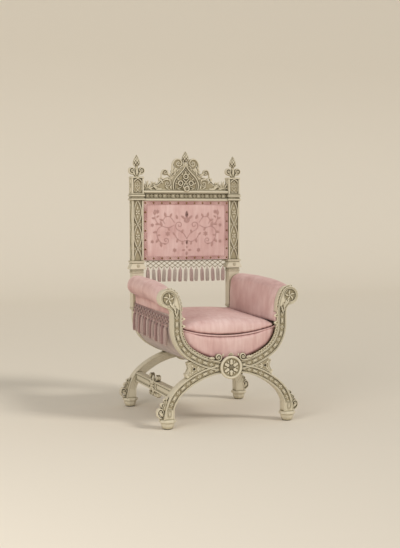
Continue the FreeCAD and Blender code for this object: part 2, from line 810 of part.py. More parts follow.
def cresting():
    """A thin rib along the arm's inner edge with small cusps low down and pierced loops above."""
    edge = -s.arm_width / 2 - s.curve_gap
    arch = arm_arch
    whole = arch.main_length + arch.side_length
    rib_in, rib_out = arch.main + edge - s.crest_rib, arch.main + edge
    side_in, side_out = arch.side + edge - s.crest_rib, arch.side + edge
    trim_end = s.hub_scroll_reach + s.hub_tail_length
    start = arch.crown_angle + math.asin(trim_end / (rib_in - s.cusp_radius)) + s.curve_gap / rib_in
    first = (start - arch.crown_angle) * arch.main
    rib = [
        polar(arch.main_centre, rib_in, start),
        curve(arch.main_centre, rib_in, start, arch.meet),
        curve(arch.side_centre, side_in, arch.meet, 0),
        (arch.half_span + edge - s.crest_rib, s.throat_height),
        (arch.half_span + edge, s.throat_height),
        (arch.half_span + edge, s.arm_spring_height),
        curve(arch.side_centre, side_out, 0, arch.meet),
        curve(arch.main_centre, rib_out, arch.meet, start),
    ]
    shapes = [slab(rib, -outer_face, cresting_back)]
    holes = []
    distance = first + s.cusp_radius * arch.main / rib_in
    while distance < whole - s.loop_radius:
        place, _ = arch.along(distance, edge - s.crest_rib)
        shapes.append(disc(*place, s.cusp_radius, -outer_face, cresting_back))
        distance += s.cusp_pitch
    distance = whole + s.loop_radius
    while distance < whole + s.throat_height - s.arm_spring_height:
        place, _ = arch.along(distance, edge - s.crest_rib)
        shapes.append(disc(*place, s.loop_radius, -outer_face, cresting_back))
        hole, _ = arch.along(distance, edge - s.crest_rib - s.loop_hole_radius / 2)
        holes.append(disc(*hole, s.loop_hole_radius, -outer_face, cresting_back))
        distance += s.loop_pitch
    return fused(shapes).cut(Part.makeCompound(holes)).cut(arm_keepout)


feature("arm_cresting", both_sides(cresting()))


bracket_eye_share = 0.75     # of the way from the inner point to the notch


def bracket():
    """The pierced piece that fills the angle between arm curve and leg."""
    front = -outer_face + s.bracket_inset
    back = -inner_face - s.bracket_inset
    notch_height = (s.bracket_tip_height + s.bracket_toe_height) / 2
    reach = s.arm_width / 2
    top = arm_arch.main_centre[1] - math.sqrt((arm_arch.main + reach)**2 - s.bracket_top_reach**2)
    outline = [
        (s.bracket_start, s.split_height),
        (s.bracket_top_reach, top + s.bracket_inset),
        (s.bracket_tip_reach, s.bracket_tip_height),
        ((s.bracket_notch_reach, notch_height), (s.bracket_toe_reach, s.bracket_toe_height)),
        (s.bracket_tip_reach, s.bracket_toe_height - s.leg_width / 2),
    ]
    eye_x = s.bracket_start + (s.bracket_notch_reach - s.bracket_start) * bracket_eye_share
    eye = disc(eye_x, s.split_height, s.bracket_eye_radius, front, back)
    return slab(outline, front, back).cut(arm_keepout).cut(leg_keepout).cut(eye)


feature("front_brackets", both_sides(bracket()))

stud_base = -outer_face + s.channel_depth


def stud(place, direction):
    half = Vector(s.stud_length / 2, s.stud_height, s.stud_width / 2)
    bar = block(Vector(-half.x, -half.y, -half.z), Vector(half.x, 0, half.z))
    front_edges = [e for e in bar.Edges if e.BoundBox.YMax < -s.stud_height / 2]
    bar = bar.makeChamfer(s.stud_chamfer, front_edges)
    bar.rotate(Vector(0, 0, 0), Vector(0, 1, 0), -math.degrees(direction))
    bar.translate(Vector(place[0], stud_base, place[1]))
    return bar


def small_flower(x, z, radius, eye, base, rise):
    """Four round lobes with a higher eye, carved in one piece."""
    lobes = [disc(*polar((x, z), radius, k * right_angle), radius, base - rise, base) for k in range(4)]
    return fused(lobes + [disc(x, z, eye, base - 2 * rise, base)])


def studs():
    made = []
    arm_length = arm_arch.main_length + arm_arch.side_length + s.throat_height - s.arm_spring_height
    leg_length = leg_arch.main_length + leg_arch.side_length
    flare_angle = leg_arch.side_angle_at(s.flare_height, leg_arch.side)
    runs = ((arm_arch, arm_length), (leg_arch, leg_length - flare_angle * leg_arch.side))
    for arch, length in runs:
        count = int((length - s.stud_start - s.stud_length / 2) / s.stud_pitch) + 1
        for k in range(count):
            place, direction = arch.along(s.stud_start + k * s.stud_pitch)
            if k % 2:
                made.append(small_flower(*place, s.flower_lobe_radius, s.flower_eye_radius,
                                         stud_base, s.stud_height))
            else:
                made.append(stud(place, direction))
    twins = [item.mirror(Vector(0, 0, 0), Vector(1, 0, 0)) for item in made]
    return Part.makeCompound(made + twins)


feature("channel_studs", studs())

# Carved boss in the recess of each front scroll: lobes at a share of its radius and an angle
boss_lobe_shares = [(0.50, 20), (0.62, 95), (0.62, 160), (0.58, 225), (0.55, 300)]


def scroll_boss():
    face = stud_base - s.channel_depth
    shapes = [disc(*volute_centre, s.boss_radius / 3, face - s.boss_rise, stud_base)]
    for share, turn in boss_lobe_shares:
        place = polar(volute_centre, s.boss_radius * share, math.radians(turn))
        shapes.append(disc(*place, s.boss_lobe_radius, face, stud_base))
    return fused(shapes)


boss = scroll_boss()
feature("scroll_bosses", Part.makeCompound([boss, boss.mirror(Vector(0, 0, 0), Vector(1, 0, 0))]))

# Carved leaf with a scroll on the outside of each leg, above the foot: shares of its throw and height
crocket_disc_shares = [(0.39, 0.20, 0.145), (0.06, 0.53, 0.125), (-0.28, 0.80, 0.095)]
crocket_stem_shares = [
    (-0.9, 0), (0.30, 0.02), (0.45, 0.2), (0.15, 0.55), (-0.25, 0.85), (-0.72, 1), (-1.6, 0.9),
]


def crocket(y):
    corner = Vector(s.leg_half_span + s.leg_foot_width / 2, 0, s.leg_base_height)
    front, back = y - s.crocket_thick / 2, y + s.crocket_thick / 2
    stem = [(corner.x + s.crocket_throw * across, corner.z + s.crocket_height * up)
            for across, up in crocket_stem_shares]
    shapes = [slab(stem, front, back)]
    for across, up, wide in crocket_disc_shares:
        shapes.append(disc(corner.x + s.crocket_throw * across, corner.z + s.crocket_height * up,
                           s.crocket_height * wide, front, back))
    foot_room = block(Vector(0, -outer_face, 0),
                      Vector(2 * corner.x, outer_face, s.leg_base_height + s.curve_gap))
    return fused(shapes).cut(leg_keepout).cut(foot_room)


crockets = [crocket(-frame_middle), crocket(frame_middle)]
crockets += [item.mirror(Vector(0, 0, 0), Vector(1, 0, 0)) for item in crockets]
feature("leg_crockets", Part.makeCompound(crockets))

# Stretcher between the two left legs, with moulded edges and a carved knot in its middle
rail_x = "-sizes.stretcher_reach"
plain = bound_box("stretcher_rail",
                  (f"{rail_x} - sizes.stretcher_thick / 2", "-sizes.frame_gap / 2",
                   "sizes.stretcher_height - sizes.stretcher_depth / 2"),
                  ("sizes.stretcher_thick", "sizes.frame_gap", "sizes.stretcher_depth"))
lips = []
for name, low in (("upper", "sizes.stretcher_height + sizes.stretcher_depth / 2 - sizes.stretcher_lip"),
                  ("lower", "sizes.stretcher_height - sizes.stretcher_depth / 2")):
    lips.append(bound_box(f"{name}_lip",
                          (f"{rail_x} - sizes.stretcher_thick / 2 - sizes.stretcher_lip_proud",
                           "-sizes.frame_gap / 2", low),
                          ("sizes.stretcher_thick + 2 * sizes.stretcher_lip_proud", "sizes.frame_gap",
                           "sizes.stretcher_lip")))
finished(joined("stretcher", [plain] + lips), "left_stretcher")

knot_scroll_share = 0.62     # where the outer scrolls sit along the knot's half length


def stretcher_knot():
    """A row of three scrolls above the rail and the same below it."""
    half = s.stretcher_depth / 2 + s.curve_gap
    low_x = -s.stretcher_reach - s.knot_thick / 2
    high_x = low_x + s.knot_thick
    reach = s.knot_half_length * knot_scroll_share
    made = []
    for way in (-1, 1):
        edge = s.stretcher_height + way * half
        row = []
        for y in (-reach, 0, reach):
            row.append(Part.makeCylinder(s.knot_scroll_radius, s.knot_thick, Vector(low_x, y, edge),
                                         Vector(1, 0, 0)))
        heights = sorted((edge, edge + way * s.knot_scroll_radius / 2))
        row.append(block(Vector(low_x, -reach, heights[0]), Vector(high_x, reach, heights[1])))
        rail = block(Vector(low_x, -s.frame_gap, s.stretcher_height - half),
                     Vector(high_x, s.frame_gap, s.stretcher_height + half))
        made.append(fused(row).cut(rail))
    return Part.makeCompound(made)


feature("stretcher_carving", stretcher_knot())


# Rails inside the tub, between the two frames
finished(bound_box("keel", ("-sizes.keel_width / 2", "-sizes.frame_gap / 2", "sizes.keel_bottom"),
                   ("sizes.keel_width", "sizes.frame_gap", "sizes.keel_height")), "keel_rail")
for name, x in (("left", "-sizes.seat_rail_reach - sizes.seat_rail_width / 2"),
                ("right", "sizes.seat_rail_reach - sizes.seat_rail_width / 2")):
    rail = bound_box(f"{name}_rail", (x, "-sizes.frame_gap / 2", "sizes.seat_rail_bottom"),
                     ("sizes.seat_rail_width", "sizes.frame_gap", "sizes.seat_rail_height"))
    finished(rail, f"{name}_seat_rail")

# Arm rolls: centre line rises from the front scroll to the post and levels off
roll_run_shares = [0, 0.25, 0.5, 0.75, 1]
roll_rear_x = s.seat_half_width + s.roll_rear_radius + s.roll_lean


class Roll:
    """Centre, radius and inner edge of the arm roll at a share of the way to the back."""

    def __init__(self, share):
        eased = 1 - (1 - share)**2
        front_x = volute_centre[0]
        self.centre = (front_x + (roll_rear_x - front_x) * share,
                       s.volute_height + (s.roll_rear_height - s.volute_height) * eased)
        self.radius = s.roll_front_radius + (s.roll_rear_radius - s.roll_front_radius) * share
        start = upright_inner - s.pad_front_proud
        self.inner_x = start + (s.seat_half_width - start) * share
        self.y = -inner_face + s.soft_gap + (s.frame_gap - 2 * s.soft_gap) * share


def arm_section(share):
    """The arm's section: inner face, roll, hollow under it and the step for the outer cover."""
    roll = Roll(share)
    middle, radius, top = throat(roll.inner_x, s.throat_height, roll.centre, roll.radius)
    outer_x = upright_outer - s.cover_inset
    hollow, under = neck(outer_x, s.roll_neck_radius, roll.centre, roll.radius)
    crown = right_angle / 2
    tucked_x = outer_x - s.cover_thick - s.soft_gap
    return [
        (s.seat_half_width, s.pad_bottom),
        (s.seat_half_width, s.pad_lean_start),
        (roll.inner_x, s.throat_height),
        curve(middle, radius, half_turn, top),
        curve(roll.centre, roll.radius, top, crown),
        curve(roll.centre, roll.radius, crown, under),
        curve(hollow, s.roll_neck_radius, under + half_turn, half_turn),
        (outer_x, s.cover_top + s.soft_gap),
        (tucked_x, s.cover_top + s.soft_gap),
        (tucked_x, s.pad_bottom),
    ]


def arm_facing():
    """The lining that runs forward through the front frame's opening, behind the cresting."""
    roll = Roll(0)
    middle, radius, top = throat(roll.inner_x, s.throat_height, roll.centre, roll.radius)
    edge_middle, edge_radius, edge_top = throat(upright_inner, s.throat_height, volute_centre,
                                                s.volute_radius)
    outline = [
        (s.seat_half_width, s.pad_bottom),
        (s.seat_half_width, s.pad_lean_start),
        (roll.inner_x, s.throat_height),
        curve(middle, radius, half_turn, top),
        polar(edge_middle, edge_radius + s.soft_gap, edge_top),
        curve(edge_middle, edge_radius + s.soft_gap, edge_top, half_turn),
        (upright_inner - s.soft_gap, s.pad_bottom),
    ]
    front = -inner_face - s.facing_reach
    return slab(outline, front, -inner_face + s.soft_gap)


def arm_pad(side):
    sections = [wire(arm_section(share), Roll(share).y) for share in roll_run_shares]
    body = Part.makeLoft(sections, True, True)
    rail = arm_rail(s.arm_rail_radius + s.rail_clear, overrun=s.frame_thick)
    pad = fused([body, arm_facing()]).cut(rail)
    return pad if side > 0 else pad.mirror(Vector(0, 0, 0), Vector(1, 0, 0))


def arm_rail(radius, overrun=0):
    """A round bar from the front scroll to the post, cut off square with the frames."""
    front = Vector(volute_centre[0], -inner_face, volute_centre[1])
    rear = Vector(roll_rear_x, inner_face, s.roll_rear_height - s.roll_neck_radius / 2)
    run = rear - front
    slope = run * (overrun / s.frame_gap)
    rings = []
    for point in (front - slope, rear + slope):
        circle = Part.Circle(point, Vector(0, 1, 0), radius)
        rings.append(Part.Wire(circle.toShape()))
    return Part.makeLoft(rings, True, True)


bar = arm_rail(s.arm_rail_radius)
feature("left_arm_rail", bar.mirror(Vector(0, 0, 0), Vector(1, 0, 0)))
feature("right_arm_rail", bar)
feature("left_arm_pad", arm_pad(-1))
feature("right_arm_pad", arm_pad(1))

# Seat sling, aprons and outer cover
sling_half = s.arm_half_span - s.arm_width / 2
sling_radius = (sling_half**2 + s.seat_sag**2) / (2 * s.seat_sag)
sling_centre = (0, s.seat_edge_height - s.seat_sag + sling_radius)


def sling_height(x, lift=0):
    return sling_centre[1] - math.sqrt((sling_radius - lift)**2 - x**2)


def sling_arc(half, lift, side):
    """Arc across the chair from side to the other side, at a lift above the sling's top."""
    return ((0, sling_height(0, lift)), (side * half, sling_height(half, lift)))


web_half = sling_half + s.webbing_lap
webbing = [
    (-web_half, sling_height(web_half)), sling_arc(web_half, 0, 1),
    (web_half, sling_height(web_half, -s.webbing_thick)), sling_arc(web_half, -s.webbing_thick, -1),
]
feature("seat_webbing", slab(webbing, -inner_face + s.soft_gap, inner_face - s.soft_gap))


def apron_outline(flat_top=False):
    """The opening of the arm curves below the seat, with the sling's dip or a level top."""
    reach = s.arm_width / 2 + s.soft_gap
    arch = arm_arch
    inside = arch.side - reach
    half = upright_inner - s.soft_gap
    if flat_top:
        top = [(half, s.rear_rail_top), (-half, s.rear_rail_top)]
        corner_angle = 0
    else:
        corner = s.seat_edge_height - s.webbing_thick
        corner_angle = arch.side_angle_at(corner, inside)
        edge = polar(arch.side_centre, inside, corner_angle)
        top = [edge, ((0, sling_height(0, -s.soft_gap)), (-edge[0], edge[1]))]
    right = [
        curve(arch.main_centre, arch.main - reach, arch.crown_angle, arch.meet),
        curve(arch.side_centre, inside, arch.meet, corner_angle),
    ]
    left = [
        (mirrored([polar(arch.side_centre, inside, corner_angle)], -1)[0]),
        mirrored([curve(arch.side_centre, inside, corner_angle, arch.meet)], -1)[0],
        mirrored([curve(arch.main_centre, arch.main - reach, arch.meet, arch.crown_angle)], -1)[0],
    ]
    return [polar(arch.main_centre, arch.main - reach, arch.crown_angle)] + right + top + left


front_board = slab(apron_outline(), -inner_face - s.apron_board_thick, -inner_face)
rear_board = slab(apron_outline(flat_top=True), inner_face, inner_face + s.apron_board_thick)
feature("apron_boards", Part.makeCompound([front_board, rear_board]))
pad_back = inner_face + s.apron_board_thick + s.soft_gap
feature("front_apron", slab(apron_outline(), -pad_back - s.apron_pad_thick, -pad_back))
feature("rear_apron", slab(apron_outline(flat_top=True), pad_back, pad_back + s.apron_pad_thick))


def cover_outline():
    """The cloth round the outside of the tub, from one arm roll under the chair to the other."""
    arch = arm_arch
    outer = s.arm_width / 2 - s.cover_inset
    inner = outer - s.cover_thick
    top = s.cover_top
    right_outer = [
        curve(arch.main_centre, arch.main + outer, arch.crown_angle, arch.meet),
        curve(arch.side_centre, arch.side + outer, arch.meet, 0),
        (arch.half_span + outer, top),
        (arch.half_span + inner, top),
        (arch.half_span + inner, arch.side_centre[1]),
        curve(arch.side_centre, arch.side + inner, 0, arch.meet),
        curve(arch.main_centre, arch.main + inner, arch.meet, arch.crown_angle),
    ]
    return [polar(arch.main_centre, arch.main + outer, arch.crown_angle)] + right_outer


feature("outer_cover", both_sides(slab(cover_outline(), -inner_face + s.soft_gap, inner_face - s.soft_gap)))

# Loose seat cushion: crowned, drawn in at its sides, with a rounded front border
# Each row: place along the depth, height of the top, lift of the underside, draw-in of the sides
cushion_shares = [
    (0, 0.34, 0.04, 0.5),
    (0.008, 0.56, 0, 0.2),
    (0.03, 0.76, 0, 0),
    (0.07, 0.91, 0, 0.05),
    (0.14, 1, 0, 0.35),
    (0.35, 1.04, 0, 0.9),
    (0.65, 1.05, 0, 0.9),
    (0.9, 1.01, 0, 0.3),
    (0.98, 0.86, 0, 0),
    (1, 0.55, 0.06, 0.3),
]


def cushion_section(run, rise, lift, draw):
    depth = s.cushion_front + s.cushion_rear
    y = -s.cushion_front + depth * run
    half = s.seat_half_width - s.cushion_side_gap - s.cushion_waist * draw
    crease = s.crease_front + (s.crease_rear - s.crease_front) * run
    crown = s.crown_front + (s.crown_rear - s.crown_front) * run
    seat_bottom = sling_height(0, s.soft_gap)
    side_bottom = sling_height(half, s.soft_gap)
    full = crown - seat_bottom
    low = seat_bottom + full * lift
    side_full = crease - side_bottom
    side_low = side_bottom + side_full * lift
    side_top = side_bottom + side_full * min(rise, 1)
    outline = [(-half, side_low), ((0, low), (half, side_low)), (half, side_top),
               ((0, seat_bottom + full * rise), (-half, side_top))]
    return wire(outline, y)


feature("seat_cushion", Part.makeLoft([cushion_section(*row) for row in cushion_shares], True, True))

# Fringes: a braid, a knotted net and a row of tassels

# The head's profile in shares of its radius, and the skirt's in shares of its radius and the drop
tassel_head_shares = [(0, 0), (0.8, 0.3), (1, 1), (0.6, 2), (1.1, 3)]
tassel_skirt_shares = [(1, 0.75), (0.95, 1), (0, 1)]


def tassel(top, drop, skirt):
    """A round head over a skirt that widens downwards."""
    head = s.tassel_head_radius
    profile = [(head * wide, -head * down) for wide, down in tassel_head_shares]
    profile += [(skirt * wide, -drop * down) for wide, down in tassel_skirt_shares]
    solid = turned(profile, 0, 0)
    solid.translate(top)
    return solid


def diamond(x, z, half_wide, half_high):
    return [Vector(x - half_wide, z, 0), Vector(x, z - half_high, 0), Vector(x + half_wide, z, 0),
            Vector(x, z + half_high, 0), Vector(x - half_wide, z, 0)]


def net(width, drop, heading, pitch, count):
    """A flat net hanging from height 0, with two rows of open diamonds, drawn in XZ."""
    row = (drop - heading) / 1.5
    half_wide, half_high = (pitch - s.cord_width) / 2, (row - s.cord_width) / 2
    sheet_face = Part.Face(Part.makePolygon([
        Vector(-width / 2, -drop, 0), Vector(width / 2, -drop, 0),
        Vector(width / 2, 0, 0), Vector(-width / 2, 0, 0), Vector(-width / 2, -drop, 0)]))
    gaps = []
    for k in range(count + 1):
        gaps.append(diamond((k - count / 2) * pitch, -heading - row / 2, half_wide, half_high))
    for k in range(count):
        gaps.append(diamond((k - (count - 1) / 2) * pitch, -heading - row, half_wide, half_high))
    for k in range(count + 1):
        gaps.append(diamond((k - count / 2) * pitch, -heading - row * 1.5, half_wide, half_high))
    corner = Vector(-width / 2 + s.cord_width, -drop * 2, 0)
    inside = Part.makePlane(width - 2 * s.cord_width, drop * 2, corner)
    tools = [Part.Face(Part.makePolygon(points)).common(inside) for points in gaps]
    face = sheet_face.cut(Part.makeCompound(tools))
    solid = face.extrude(Vector(0, 0, s.net_thick))
    solid.rotate(Vector(0, 0, 0), Vector(1, 0, 0), 90)
    return solid


side_row = s.frame_gap - 2 * s.side_tassel_radius
side_count = round(side_row / s.side_tassel_pitch)
side_pitch = side_row / side_count


def side_fringe(side):
    """Braid and net on the outside of an arm, sloping down to the front."""
    width = s.frame_gap - 2 * s.soft_gap
    mesh = net(width, s.side_net_drop, s.cord_width, side_pitch, side_count)
    outwards = FreeCAD.Matrix()
    outwards.A23 = s.side_net_lean / s.side_net_drop
    mesh = mesh.transformGeometry(outwards)
    braid = block(Vector(-width / 2, -s.gimp_thick, 0), Vector(width / 2, 0, s.gimp_width))
    whole = fused([mesh, braid])
    whole.rotate(Vector(0, 0, 0), Vector(0, 0, 1), side * 90)
    x = side * (upright_outer - s.cover_inset + s.soft_gap)
    lean = s.side_gimp_slope / s.frame_gap
    skew = FreeCAD.Matrix()
    skew.A32 = lean
    whole = whole.transformGeometry(skew)
    whole.translate(Vector(x, 0, s.side_gimp_height - s.side_gimp_slope / 2))
    return whole


def side_tassels(side):
    x = side * (upright_outer - s.cover_inset + s.soft_gap + s.side_net_lean + s.net_thick / 2)
    made = []
    for k in range(side_count):
        y = (k - (side_count - 1) / 2) * side_pitch
        gimp = s.side_gimp_height - s.side_gimp_slope / 2 + s.side_gimp_slope * y / s.frame_gap
        top = gimp - s.side_net_drop
        made.append(tassel(Vector(x, y, top), s.side_tassel_length, s.side_tassel_radius - s.soft_gap))
    return Part.makeCompound(made)


for name, side in (("left", -1), ("right", 1)):
    feature(f"{name}_side_net", side_fringe(side))
    feature(f"{name}_side_tassels", side_tassels(side))

# Posts of the back: neck, flared base, panelled shaft, capital and carved spire block
post_front = inner_face


def post(name, side):
    middle_x = f"({side} * sizes.arm_half_span)"
    middle_y = "(sizes.frame_gap / 2 + sizes.frame_thick / 2)"

    def stage(label, width, depth, low, high):
        return bound_box(f"{name}_{label}",
                         (f"{middle_x} - {width} / 2", f"{middle_y} - {depth} / 2", low),
                         (width, depth, f"{high} - {low}"))

    thick = "sizes.frame_thick"
    stages = [
        stage("neck", "sizes.post_neck_width", thick, "sizes.post_foot", "sizes.base_bottom"),
        stage("bead", "sizes.base_width", "sizes.base_depth", "sizes.base_bottom",
              "(sizes.base_bottom + sizes.base_bead)"),
        stage("collar", "sizes.cap_width", "sizes.cap_depth", "sizes.base_top", "sizes.shaft_bottom"),
        stage("shaft", "sizes.post_width", thick, "sizes.shaft_bottom", "sizes.shaft_top"),
        stage("cap", "sizes.cap_width", "sizes.cap_depth", "sizes.shaft_top",
              "(sizes.shaft_top + sizes.cap_neck)"),
        stage("cap_block", "sizes.post_width", thick, "(sizes.shaft_top + sizes.cap_neck)",
              "(sizes.cap_top - sizes.cap_neck)"),
        stage("cap_top", "sizes.cap_width", "sizes.cap_depth", "(sizes.cap_top - sizes.cap_neck)",
              "sizes.cap_top"),
        stage("spire", "sizes.spire_width", thick, "sizes.cap_top", "sizes.spire_top"),
    ]
    flare = doc.addObject("Part::Wedge", f"{name}_flare")
    for low, high, half in (("Xmin", "Xmax", "sizes.base_width / 2"),
                            ("Zmin", "Zmax", "sizes.base_depth / 2"),
                            ("X2min", "X2max", "sizes.post_width / 2"),
                            ("Z2min", "Z2max", "sizes.frame_thick / 2")):
        flare.setExpression(low, f"-({half})")
        flare.setExpression(high, half)
    flare.setExpression("Ymin", "sizes.base_bottom + sizes.base_bead")
    flare.setExpression("Ymax", "sizes.base_top")
    flare.Placement.Rotation = Rotation(Vector(1, 0, 0), 90)
    flare.setExpression("Placement.Base.x", middle_x)
    flare.setExpression("Placement.Base.y", middle_y)
    solid = joined(f"{name}_post_stages", stages + [flare])
    panel = bound_box(f"{name}_panel",
                      (f"{middle_x} - sizes.post_width / 2 + sizes.panel_margin", "sizes.frame_gap / 2",
                       "sizes.shaft_bottom"),
                      ("sizes.post_width - 2 * sizes.panel_margin", "sizes.panel_depth",
                       "sizes.shaft_top - sizes.shaft_bottom"))
    niche = bound_box(f"{name}_niche",
                      (f"{middle_x} - sizes.spire_width / 2 + sizes.niche_margin", "sizes.frame_gap / 2",
                       "sizes.cap_top + sizes.niche_margin"),
                      ("sizes.spire_width - 2 * sizes.niche_margin", "sizes.panel_depth",
                       "sizes.spire_top - sizes.cap_top - 2 * sizes.niche_margin"))
    hole = doc.addObject("Part::Cylinder", f"{name}_dowel_hole")
    hole.setExpression("Radius", "sizes.post_dowel_radius + sizes.dowel_fit")
    hole.setExpression("Height", "sizes.post_dowel_length / 2 + sizes.dowel_fit")
    hole.setExpression("Placement.Base.x", middle_x)
    hole.setExpression("Placement.Base.y", middle_y)
    hole.setExpression("Placement.Base.z", "sizes.post_foot")
    tools = joined(f"{name}_post_cuts", [panel, niche, hole])
    return finished(cut_from(f"{name}_post_cut", solid, tools), f"{name}_post")


posts = [post("left", -1), post("right", 1)]


tracery_flower_share = 0.7   # height of a flower's lobes against the bands


def serpentine(side):
    """Two crossing waves in the shaft's panel, with a flower in each loop between them."""
    reach = (s.post_width - 2 * s.panel_margin - s.tracery_width) / 2
    half = s.tracery_period / 2
    radius = (half**2 + reach**2) / (2 * reach)
    sweep = math.asin(half / radius)
    front = post_front + s.panel_depth - s.tracery_rise
    back = post_front + s.panel_depth
    x0 = side * s.arm_half_span
    bands = []
    flowers = []
    crossing = s.shaft_top
    while crossing > s.shaft_bottom:
        middle = crossing - half
        for way in (-1, 1):
            centre = (x0 - way * (radius - reach), middle)
            facing = 0 if way > 0 else half_turn
            outer = radius + s.tracery_width / 2
            inner = radius - s.tracery_width / 2
            start, end = facing - sweep, facing + sweep
            band = [
                polar(centre, inner, start),
                curve(centre, inner, start, end),
                polar(centre, outer, end),
                curve(centre, outer, end, start),
            ]
            bands.append(slab(band, front, back))
        flowers.append(small_flower(x0, middle, s.tracery_flower_radius, s.flower_eye_radius, back,
                                    s.tracery_rise * tracery_flower_share))
        crossing -= s.tracery_period
    gap = s.curve_gap
    half_panel = s.post_width / 2 - s.panel_margin - gap
    inside = block(Vector(x0 - half_panel, front - s.frame_thick, s.shaft_bottom + gap),
                   Vector(x0 + half_panel, back, s.shaft_top - gap))
    waves = fused(bands).common(inside)
    kept = [item.common(inside) for item in flowers]
    return Part.makeCompound([waves] + [item for item in kept if item.Volume > 0])


feature("post_tracery", Part.makeCompound([serpentine(-1), serpentine(1)]))


bud_shares = [(0, 0), (0.42, 0), (0.5, 0.14), (0.95, 0.3), (1, 0.42), (0.62, 0.66), (0.3, 0.82), (0, 1)]


def bud(x, bottom, top, radius):
    """A pointed leaf bud, turned: its profile in shares of its radius and height."""
    profile = [(radius * wide, bottom + (top - bottom) * high) for wide, high in bud_shares]
    return turned(profile, x, frame_middle)


def finial(side):
    """Two scrolls back to back on the spire block, with the bud rising between them."""
    x0 = side * s.arm_half_span
    front, back = frame_middle - s.finial_thick / 2, frame_middle + s.finial_thick / 2
    reach, z, radius = s.finial_scroll_reach, s.finial_scroll_height, s.finial_scroll_radius
    stem_half = s.spire_width / 4
    stem_top = s.finial_bud_bottom + radius / 2
    stem = [
        (x0 - stem_half, s.spire_top),
        (x0 + stem_half, s.spire_top),
        (x0 + reach, z - radius / 2),
        (x0 + stem_half, stem_top),
        (x0 - stem_half, stem_top),
        (x0 - reach, z - radius / 2),
    ]
    shapes = [slab(stem, front, back), bud(x0, s.finial_bud_bottom, s.finial_tip, s.finial_bud_radius)]
    for way in (-1, 1):
        shapes.append(disc(x0 + way * reach, z, radius, front, back))
    return fused(shapes)


feature("left_finial", finial(-1))
feature("right_finial", finial(1))

# Top rail with two lips and a sunk band of beads, and the rail below the padded panel
post_inner = s.arm_half_span - s.post_width / 2
rail_half = "(sizes.arm_half_span - sizes.post_width / 2)"
rail_back = "(sizes.frame_gap / 2 + sizes.frame_thick / 2 + sizes.rail_lip_depth / 2)"
rail_parts = [
    bound_box("rail_web", (f"-{rail_half}", f"{rail_back} - sizes.rail_depth", "sizes.rail_bottom"),
              (f"2 * {rail_half}", "sizes.rail_depth", "sizes.rail_top - sizes.rail_bottom")),
    bound_box("rail_lower_lip", (f"-{rail_half}", f"{rail_back} - sizes.rail_lip_depth",
                                 "sizes.rail_bottom"),
              (f"2 * {rail_half}", "sizes.rail_lip_depth", "sizes.rail_lip")),
    bound_box("rail_upper_lip", (f"-{rail_half}", f"{rail_back} - sizes.rail_lip_depth",
                                 "sizes.rail_top - sizes.rail_lip"),
              (f"2 * {rail_half}", "sizes.rail_lip_depth", "sizes.rail_lip")),
]
both_posts = joined("both_posts", posts)
finished(cut_from("rail_between_posts", joined("rail_stages", rail_parts), both_posts), "top_rail")


def knob(place, radius, rise):
    """A low cone that stands out to the front."""
    return Part.makeCone(radius, radius / 2, rise, place, Vector(0, -1, 0))


def beads():
    """Round and oblong beads by turns along the rail's sunk band."""
    back = frame_middle + s.rail_lip_depth / 2 - s.rail_depth
    z = (s.rail_bottom + s.rail_top) / 2
    made = []
    count = int((2 * s.arm_half_span - s.cap_width - s.bead_length) / s.bead_pitch)
    for k in range(count + 1):
        x = (k - count / 2) * s.bead_pitch
        if k % 2:
            made.append(knob(Vector(x, back, z), s.bead_radius, s.bead_rise))
        else:
            made.append(block(Vector(x - s.bead_length / 2, back - s.bead_rise, z - s.bead_radius),
                              Vector(x + s.bead_length / 2, back, z + s.bead_radius)))
    return Part.makeCompound(made)


feature("rail_beads", beads())

# Crest: a carved gable with scrolls, shares of half its width and of its height
crest_gable_shares = [
    (0, 0), (0.985, 0), (0.79, 0.13), (0.36, 0.49), (0.28, 0.63), (0.17, 0.82), (0.03, 0.96), (0, 0.96),
]
crest_disc_shares = [
    (0.17, 0.91, 0.205), (0.465, 0.62, 0.145), (0.665, 0.27, 0.07), (0.58, 0.37, 0.07), (0.40, 0.52, 0.07),
    (0.875, 0.20, 0.095), (0.83, 0.09, 0.09), (0.93, 0.09, 0.09),
]
arch_outer_shares = [(0.29, 0.02), ((0.315, 0.28), (0.212, 0.55)), ((0.095, 0.72), (0, 0.985))]
arch_inner_shares = [(0, 0.85), ((0.063, 0.655), (0.18, 0.5)), ((0.275, 0.28), (0.248, 0.02))]
bloom_height_share = 0.3
bloom_lobe_share = 0.09
bloom_eye_share = 0.06


def from_crest(step):
    """A point of the crest from its shares."""
    if is_arc(step):
        return tuple(from_crest(point) for point in step)
    return (post_inner * step[0], s.rail_top + s.crest_height * step[1])


def crest_plate():
    front = inner_face + s.crest_back
    back = front + s.crest_thick
    shapes = [slab([from_crest(step) for step in crest_gable_shares], front, back)]
    for across, up, wide in crest_disc_shares:
        x, z = from_crest((across, up))
        shapes.append(disc(x, z, s.crest_height * wide, front, back))
    room = block(Vector(-s.curve_gap, front, s.rail_top),
                 Vector(post_inner - s.curve_gap, back, s.rail_top + 2 * s.crest_height))
    return both_sides(fused(shapes).common(room))


def crest_arch():
    """The raised ogee arch on the crest's face, with a four-lobed flower under it."""
    back = inner_face + s.crest_back
    band = [from_crest(step) for step in arch_outer_shares + arch_inner_shares]
    arch = both_sides(slab(band, back - s.arch_rise, back))
    bloom = small_flower(0, s.rail_top + s.crest_height * bloom_height_share,
                         s.crest_height * bloom_lobe_share, s.crest_height * bloom_eye_share,
                         back, s.arch_rise / 2)
    return Part.makeCompound([arch, bloom])


feature("crest", crest_plate())
feature("crest_arch", crest_arch())
crest_middle = inner_face + s.crest_back + s.crest_thick / 2
crest_top = from_crest(crest_gable_shares[-1])[1]
crest_bud = bud(0, crest_top, crest_top + s.crest_bud_tall, s.crest_bud_radius)
crest_bud.translate(Vector(0, crest_middle - frame_middle, 0))
feature("crest_finial", crest_bud)

